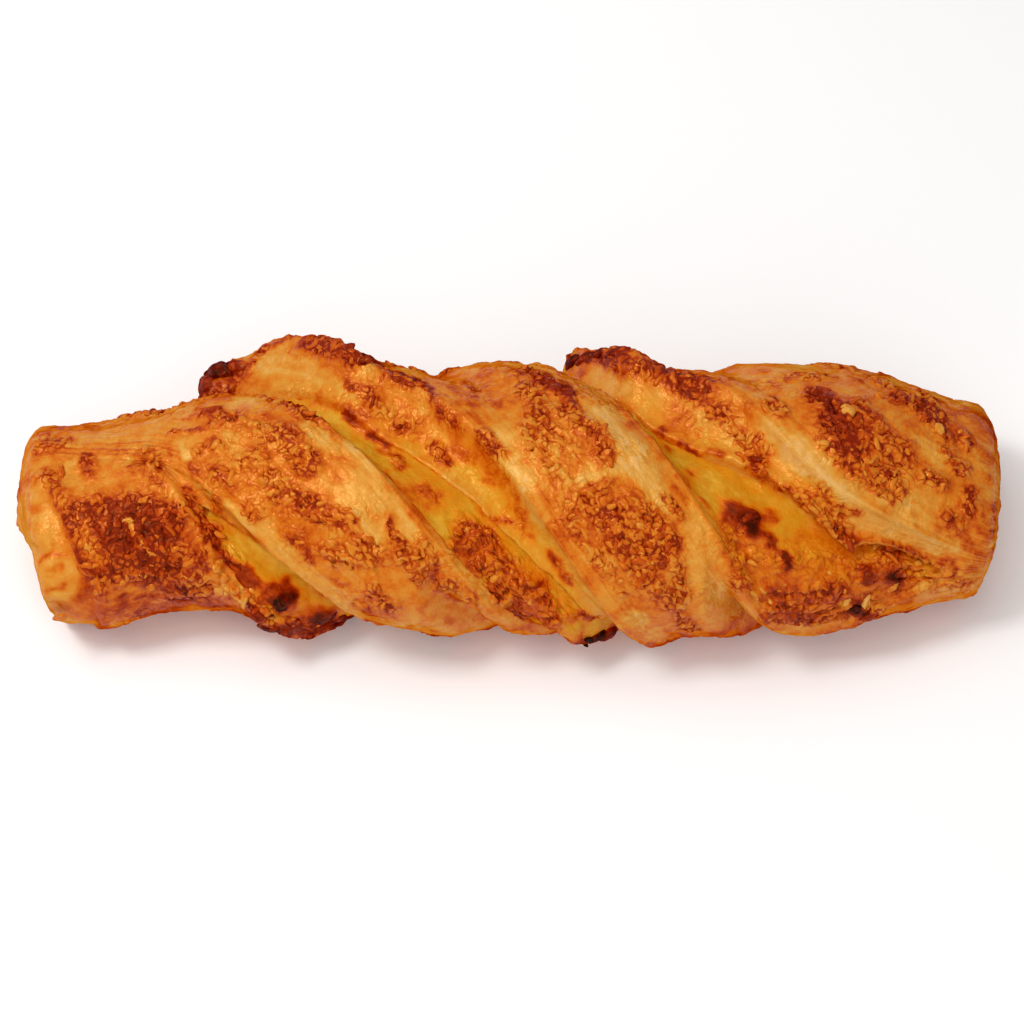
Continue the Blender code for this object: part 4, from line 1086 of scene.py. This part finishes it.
# %% Lumps
# x, y in the picture, length, width and height in mm, turn in degrees, browning, how far it stands out
LUMPS_ON_TOP = (
    (220, 374, 8.8, 5.6, 5.0, 25, 0.9, 0.0), (209, 387, 6.2, 5.4, 4.6, 60, 0.82, 0.0),
    (224, 388, 8.0, 5.6, 4.2, 10, 0.64, 0.0), (238, 368, 6.4, 3.6, 3.0, 15, 0.72, 0.0),
    (573, 362, 5.0, 3.0, 2.4, 0, 0.9, 0.0), (584, 359, 5.4, 2.6, 2.0, 0, 0.86, 0.0),
    (599, 355, 5.6, 2.4, 2.2, 5, 0.86, 0.0), (614, 353, 5.0, 2.2, 2.0, 5, 0.84, 0.0),
    (608, 633, 5.4, 3.0, 2.6, 5, 0.84, 0.0), (598, 636, 4.8, 2.4, 2.2, 10, 0.95, 0.0),
    (589, 640, 3.4, 1.8, 1.6, 45, 1.0, 0.0), (585, 644, 2.4, 1.0, 1.0, 55, 1.0, 0.0),
    (61, 616, 5.0, 2.2, 1.0, -40, 0.4, 0.3), (281, 602, 5.0, 4.0, 2.4, 20, 0.97, -0.1),
    (328, 618, 4.8, 2.8, 1.6, -10, 0.9, -0.1), (270, 626, 5.2, 3.2, 2.4, -20, 0.84, 0.1),
    (294, 622, 3.4, 2.6, 1.8, 0, 0.7, 0.1), (259, 616, 3.6, 2.8, 2.2, 40, 0.76, 0.1),
    (286, 630, 3.8, 2.4, 2.0, 0, 0.8, 0.1), (340, 617, 3.2, 2.2, 1.8, 30, 0.8, 0.1),
    (344, 350, 5.6, 2.4, 1.6, -20, 0.76, 0.0), (362, 361, 5.2, 2.4, 1.6, -15, 0.8, 0.0),
    (322, 344, 5.0, 2.2, 1.5, -10, 0.76, 0.0), (401, 379, 4.2, 2.0, 1.4, -15, 0.76, 0.0),
    (742, 519, 8.2, 5.8, 1.8, -20, 0.84, -0.3), (749, 524, 5.4, 3.2, 1.5, -40, 0.95, -0.2),
    (858, 608, 4.4, 2.4, 1.8, 10, 1.0, 0.0), (848, 412, 3.6, 3.0, 2.4, 30, 0.2, 0.1),
    (938, 430, 3.3, 2.6, 2.2, 60, 0.28, 0.1), (862, 434, 2.4, 1.8, 1.6, 30, 0.3, 0.0),
    (128, 521, 2.8, 1.6, 1.4, 0, 0.3, 0.1), (152, 552, 3.0, 1.8, 1.5, 40, 0.36, 0.1),
    (142, 575, 2.2, 1.8, 1.6, 10, 0.34, 0.1), (134, 532, 4.6, 2.4, 1.6, 60, 0.44, 0.0),
    (143, 546, 4.0, 2.6, 1.6, 40, 0.42, 0.0), (151, 586, 2.2, 2.0, 1.6, 0, 0.4, 0.1),
    (185, 576, 2.4, 2.0, 1.6, 0, 0.42, 0.1), (122, 582, 2.0, 1.8, 1.5, 0, 0.42, 0.1),
    (152, 499, 7.0, 1.6, 1.4, -8, 0.42, 0.1), (84, 540, 6.0, 1.8, 1.5, -60, 0.44, 0.1),
    (94, 552, 4.6, 1.6, 1.4, -50, 0.46, 0.1), (61, 471, 4.4, 1.6, 1.5, 80, 0.42, 0.1),
    (218, 566, 3.8, 2.4, 1.5, -60, 0.36, 0.0), (224, 578, 3.0, 2.2, 1.4, -60, 0.4, 0.0),
    (234, 590, 3.6, 2.4, 1.5, -30, 0.36, 0.0), (247, 595, 3.4, 2.2, 1.4, -20, 0.42, 0.0),
    (264, 612, 3.4, 2.4, 2.0, 30, 0.42, 0.1), (893, 586, 3.2, 2.2, 1.8, -40, 0.36, 0.0),
    (656, 543, 2.6, 2.0, 1.5, 30, 0.2, 0.0), (640, 526, 2.4, 1.8, 1.4, 60, 0.22, 0.0),
    (648, 566, 3.0, 1.7, 1.4, -40, 0.24, 0.0), (880, 397, 2.6, 2.0, 1.7, 10, 0.4, 0.0),
)
LUMP_ROUGHNESS, LUMP_BUMPS, LUMP_FINENESS = 0.22, (0.45, 0.2), 4
LUMP_MOTTLING, MOTTLE_SIZE, LUMP_CHEESE = 0.16, 1.4, 0.4


def add_lump(bm, spot, out, size, turn, raised):
    """A rough ball pressed into the surface at a spot. Gives its vertices."""
    rows = stood(Vector(out).normalized(), turn)
    made = bmesh.ops.create_icosphere(bm, subdivisions=LUMP_FINENESS, radius=0.5)["verts"]
    shape = np.array([v.co for v in made])
    large, small = (rough(shape + spot[0], bumps) for bumps in LUMP_BUMPS)
    grown = 1 + LUMP_ROUGHNESS * (large + 0.5 * small)
    placed = spot + (shape * grown[:, None] * size + [0, 0, raised * size[2]]) @ rows
    for v, co in zip(made, placed):
        v.co = co * MM
    return made


bm = bmesh.new()
tone = bm.verts.layers.float.new("browning")
amount = bm.verts.layers.float.new("cheese")
for x, y, long, wide, high, turn, browning, raised in LUMPS_ON_TOP:
    spot, out = in_view(x, y)
    for v in add_lump(bm, spot, out, np.array((long, wide, high)), math.radians(-turn), raised):
        v[tone] = browning + LUMP_MOTTLING * noise.noise(v.co / (MOTTLE_SIZE * MM))
        v[amount] = LUMP_CHEESE
mesh = bpy.data.meshes.new("baked_lumps")
bm.to_mesh(mesh)
bm.free()
mesh.shade_smooth()
lumps = bpy.data.objects.new("baked_lumps", mesh)
bpy.context.scene.collection.objects.link(lumps)
print("lumps:", len(LUMPS_ON_TOP), "with", len(mesh.polygons), "faces")


# %% [markdown]
# ## Materials
#
# Puff pastry washed with egg bakes to a satin skin, and cheese that melts and browns to a glossier one. They
# could be painted as pictures, but then they would fit this twist only. Both are the same thing at several
# stages: pale, gold, amber, red-brown, charred. So one function makes all the materials. It reads the
# browning of each spot, breaks it up with fine noise, and looks its colour up on a ramp.

# %% Colours, and one function that adds a node
MULTIPLY, MULTIPLY_ADD = {"operation": "MULTIPLY"}, {"operation": "MULTIPLY_ADD"}


def linear(code):
    """An sRGB hex colour as linear red, green, blue and alpha."""
    parts = [int(code[i : i + 2], 16) / 255 for i in (1, 3, 5)]
    return tuple(c / 12.92 if c <= 0.04045 else ((c + 0.055) / 1.055) ** 2.4 for c in parts) + (1.0,)


def add_node(tree, kind, settings=None, output=0, **inputs):
    """Adds a node, sets or links its inputs, by name or by number as i0, and gives one of its outputs."""
    node = tree.nodes.new(kind)
    for key, value in (settings or {}).items():
        setattr(node, key, value)
    for key, value in inputs.items():
        numbered = key[0] == "i" and key[1:].isdigit()
        socket = node.inputs[int(key[1:]) if numbered else key.replace("_", " ")]
        if isinstance(value, bpy.types.NodeSocket):
            tree.links.new(value, socket)
        else:
            socket.default_value = value
    return node.outputs[output]


def fill_ramp(node, stops):
    """Sets a colour ramp's stops from (place, hex colour) pairs."""
    while len(node.color_ramp.elements) < len(stops):
        node.color_ramp.elements.new(0.5)
    for element, (position, code) in zip(node.color_ramp.elements, stops):
        element.position = position
        element.color = linear(code)


# %% Patterns of baked dough and cheese, with their sizes in mm
COARSE, FINE = 3.4, 0.8  # clouds of browning, and pits, drawn as coarse as the picture can show them
WINDING, SWIRL, BEND = 2.1, 2.4, 2.1  # the seams between bubbles of cheese, and what bends them, and how far
SEAM_WIDTH = 0.13  # as a value of the noise
DARKEST_SEAM = 0.79  # a seam gets no darker than this, unless the place itself is burnt
STREAK_WIDTH, STREAK_LENGTH = 1.7, 13.0  # torn layers of dough
STREAK_BROWNER, STREAK_HEIGHT = 0.8, 1.5
COARSE_HEIGHT, FINE_HEIGHT = 0.75, 0.55  # of a dome's


def baked_patterns(add, mottling, seams, streaks):
    """The browning of each spot with noise, seams and streaks, and the height of its fine relief."""
    where = add("ShaderNodeTexCoord", output="Object")
    browning = add("ShaderNodeAttribute", {"attribute_name": "browning"}, "Fac")
    cheese = add("ShaderNodeAttribute", {"attribute_name": "cheese"}, "Fac")
    scale = 1 / (COARSE * MM)
    coarse = add("ShaderNodeTexNoise", output="Fac", Vector=where, Scale=scale, Detail=5.0, Roughness=0.62)
    scale = 1 / (FINE * MM)
    fine = add("ShaderNodeTexNoise", output="Fac", Vector=where, Scale=scale, Detail=3.0, Roughness=0.55)
    level = add("ShaderNodeMath", MULTIPLY_ADD, i0=browning, i1=1.0, i2=-0.75 * mottling)
    level = add("ShaderNodeMath", MULTIPLY_ADD, i0=fine, i1=0.5 * mottling, i2=level)
    level = add("ShaderNodeMath", MULTIPLY_ADD, i0=coarse, i1=mottling, i2=level)

    # Winding seams where the noise passes its middle value, with soft domes between, where cheese is baked on
    swirl = add("ShaderNodeTexNoise", output="Color", Vector=where, Scale=1 / (SWIRL * MM), Detail=1.0)
    bent = add("ShaderNodeVectorMath", MULTIPLY_ADD, i0=swirl, i1=(BEND * MM,) * 3, i2=where)
    scale = 1 / (WINDING * MM)
    winding = add("ShaderNodeTexNoise", output="Fac", Vector=bent, Scale=scale, Detail=1.0, Roughness=0.4)
    centred = add("ShaderNodeMath", MULTIPLY_ADD, i0=winding, i1=1.0, i2=-0.5)
    seam = add("ShaderNodeMath", {"operation": "ABSOLUTE"}, i0=centred)
    smooth = {"interpolation_type": "SMOOTHSTEP"}
    dome = add("ShaderNodeMapRange", smooth, i0=seam, i1=0.0, i2=SEAM_WIDTH, i3=0.0, i4=1.0)
    raised = add("ShaderNodeMath", MULTIPLY_ADD, i0=dome, i1=cheese, i2=0.0)
    level = add("ShaderNodeMath", MULTIPLY_ADD, i0=cheese, i1=0.75 * seams, i2=level)
    level = add("ShaderNodeMath", MULTIPLY_ADD, i0=raised, i1=-seams, i2=level)
    darkest = add("ShaderNodeMath", {"operation": "MAXIMUM"}, i0=browning, i1=DARKEST_SEAM)
    level = add("ShaderNodeMath", {"operation": "MINIMUM"}, i0=level, i1=darkest)
    height = add("ShaderNodeMath", MULTIPLY_ADD, i0=coarse, i1=COARSE_HEIGHT, i2=raised)
    height = add("ShaderNodeMath", MULTIPLY_ADD, i0=fine, i1=FINE_HEIGHT, i2=height)
    if not streaks:
        return level, height

    # Streaks along the torn layers, on the unrolled crust
    flat = add("ShaderNodeUVMap", {"uv_map": "unrolled"})
    stretch = (UV_UNIT / STREAK_WIDTH, UV_UNIT / STREAK_LENGTH, 1.0)
    flat = add("ShaderNodeMapping", Vector=flat, Scale=stretch)
    noise_ = {"Scale": 1.0, "Detail": 2.0, "Roughness": 0.55, "Distortion": 0.3}
    streak = add("ShaderNodeTexNoise", output="Fac", Vector=flat, **noise_)
    strength = add("ShaderNodeAttribute", {"attribute_name": "layers"}, "Fac")
    centred = add("ShaderNodeMath", {"operation": "SUBTRACT"}, i0=streak, i1=0.5)
    streak = add("ShaderNodeMath", MULTIPLY_ADD, i0=centred, i1=strength, i2=0.0)
    level = add("ShaderNodeMath", MULTIPLY_ADD, i0=streak, i1=STREAK_BROWNER, i2=level)
    height = add("ShaderNodeMath", MULTIPLY_ADD, i0=streak, i1=STREAK_HEIGHT, i2=height)
    return level, height


# %% A material that browns
PASTRY_RAMP = (
    (0.0, "#dca65e"), (0.14, "#d6963e"), (0.3, "#d18228"), (0.44, "#cd6a13"), (0.58, "#b94806"),
    (0.72, "#952402"), (0.86, "#630b00"), (1.0, "#1c0301"),
)
CHEESE_RAMP = (
    (0.0, "#d49b2a"), (0.16, "#ce8916"), (0.32, "#d47a0f"), (0.46, "#c85f06"), (0.6, "#b23c02"),
    (0.74, "#8a1f00"), (0.87, "#580b00"), (1.0, "#1c0301"),
)
FAT_IOR = 1.45  # of butter, cheese and dried egg
CHARRED_ROUGHER = 0.2
SHEEN, GLAZE = 0.62, "#ffbe74"  # a little over the plain 0.5, and warm because light passes through the glaze
# The glaze is finely pitted and hardly mirrors where it is seen edge-on. Face-on is 0, edge-on is 1
SHEEN_FADES = (0.2, 0.66)
CHARRED_SHEEN, CHARRING = 0.35, (0.5, 0.92)
BUMP_HEIGHT = 0.38  # mm
GLOW_DEPTH, GLOW_COLOUR = 1.2, (1.0, 0.35, 0.1)  # mm, and how much deeper red goes than green and blue


def browned(name, ramp, roughness, mottling, seams, bumps, streaks=False, glow=0.0, soaked_ramp=None):
    """A material whose colour, roughness, sheen and fine bumps follow the browning of the piece."""
    material = bpy.data.materials.new(name)
    material.use_nodes = True
    tree = material.node_tree
    shader = tree.nodes["Principled BSDF"]
    add = partial(add_node, tree)
    level, height = baked_patterns(add, mottling, seams, streaks)

    colour = add("ShaderNodeValToRGB", output="Color", Fac=level)
    fill_ramp(colour.node, ramp)
    if soaked_ramp:
        yellow = add("ShaderNodeValToRGB", output="Color", Fac=level)
        fill_ramp(yellow.node, soaked_ramp)
        how_much = add("ShaderNodeAttribute", {"attribute_name": "soaked"}, "Fac")
        colour = add("ShaderNodeMix", {"data_type": "RGBA"}, 2, i0=how_much, i6=colour, i7=yellow)
    roughest = roughness + CHARRED_ROUGHER
    rougher = add("ShaderNodeMapRange", i0=level, i1=0.6, i2=1.0, i3=roughness, i4=roughest)
    bumped = add("ShaderNodeBump", Strength=bumps, Distance=BUMP_HEIGHT * MM, Height=height)

    facing = add("ShaderNodeLayerWeight", output="Facing", Blend=0.5)
    sheen = add("ShaderNodeMapRange", i0=facing, i1=SHEEN_FADES[0], i2=SHEEN_FADES[1], i3=SHEEN, i4=0.0)
    if streaks:
        dry = add("ShaderNodeAttribute", {"attribute_name": "dry"}, "Fac")
        moist = add("ShaderNodeMath", MULTIPLY_ADD, i0=dry, i1=-1.0, i2=1.0)
        sheen = add("ShaderNodeMath", MULTIPLY, i0=sheen, i1=moist)
    charred = add("ShaderNodeMapRange", i0=level, i1=CHARRING[0], i2=CHARRING[1], i3=1.0, i4=CHARRED_SHEEN)
    sheen = add("ShaderNodeMath", MULTIPLY, i0=sheen, i1=charred)

    for socket, value in (
        ("Base Color", colour), ("Roughness", rougher), ("Normal", bumped), ("Specular IOR Level", sheen),
    ):
        tree.links.new(value, shader.inputs[socket])
    for socket, value in (
        ("IOR", FAT_IOR), ("Specular Tint", linear(GLAZE)), ("Subsurface Weight", glow),
        ("Subsurface Radius", GLOW_COLOUR), ("Subsurface Scale", GLOW_DEPTH * MM),
    ):
        shader.inputs[socket].default_value = value
    return material


# %% The three finishes
# Puff pastry, washed with egg and baked. The egg dries to a thin satin glaze, so gold crust has soft warm
# highlights, charred crust is matt, and torn layers show as fine streaks.
pastry_finish = browned(
    "egg_washed_puff_pastry", PASTRY_RAMP, roughness=0.18, mottling=0.48, seams=0.29, bumps=0.68,
    streaks=True, soaked_ramp=CHEESE_RAMP,
)
# Cheese, melted and browned. Its fat keeps it smoother than the crust, and light goes a little way in, which
# softens the yellow.
filling_finish = browned(
    "melted_browned_cheese", CHEESE_RAMP, roughness=0.15, mottling=0.44, seams=0.19, bumps=0.7, glow=0.25,
)
# Grated cheese, toasted. A shred is too small for seams of its own: its shape and two tones do the work.
shred_finish = browned(
    "toasted_cheese_shreds", PASTRY_RAMP, roughness=0.18, mottling=0.30, seams=0.0, bumps=0.3,
)
for piece, material in (
    (pastry, pastry_finish), (filling, filling_finish), (shreds, shred_finish), (lumps, pastry_finish),
):
    piece.data.materials.clear()
    piece.data.materials.append(material)
print("materials:", [material.name for material in bpy.data.materials])

# %% [markdown]
# ## The set
#
# The photo was taken on plain white, with soft light from above. A pale floor and large soft lights give
# that, and a smaller one adds the highlights. The floor only serves the picture.

# %% Floor
FLOOR_SIZE = 3.0  # metres

bm = bmesh.new()
bmesh.ops.create_grid(bm, x_segments=1, y_segments=1, size=FLOOR_SIZE)
mesh = bpy.data.meshes.new("floor")
bm.to_mesh(mesh)
bm.free()
floor = bpy.data.objects.new("floor", mesh)
bpy.context.scene.collection.objects.link(floor)
table = bpy.data.materials.new("matt_white_table")
table.use_nodes = True
table.node_tree.nodes["Principled BSDF"].inputs["Base Color"].default_value = linear("#fcfbfa")
table.node_tree.nodes["Principled BSDF"].inputs["Roughness"].default_value = 0.9
floor.data.materials.append(table)

# %% Lights and colour
# Name, place and width in metres, power in watts
LAMPS = (
    ("softbox_above", (-0.3, 0.1, 0.8), 0.9, 3.2),
    ("softbox_front", (0.25, -0.75, 0.55), 1.0, 3.2),
    ("key_light", (-0.38, 0.0, 0.75), 0.2, 2.3),
)
SURROUNDINGS = 0.38  # strength of the white light from all round

for name, spot, size, power in LAMPS:
    light = bpy.data.lights.new(name, "AREA")
    light.size, light.energy = size, power
    holder = bpy.data.objects.new(name, light)
    holder.location = spot
    holder.rotation_euler = (-Vector(spot)).to_track_quat("-Z", "Y").to_euler()
    bpy.context.scene.collection.objects.link(holder)
world = bpy.data.worlds.new("studio")
bpy.context.scene.world = world
world.use_nodes = True
world.node_tree.nodes["Background"].inputs["Color"].default_value = linear("#ffffff")
world.node_tree.nodes["Background"].inputs["Strength"].default_value = SURROUNDINGS
bpy.context.scene.view_settings.view_transform = "Standard"
print("lights:", [name for name, *_ in LAMPS])

# %% Attach every piece to the root, and hide the imported parts that the crust and the filling take over from
for piece, node, slot in (
    (pastry, "pastry", "baked_pastry"),
    (filling, "cheese_filling", "melted_cheese"),
):
    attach(piece, "root")
    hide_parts(node)
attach(shreds, "root")
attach(lumps, "root")
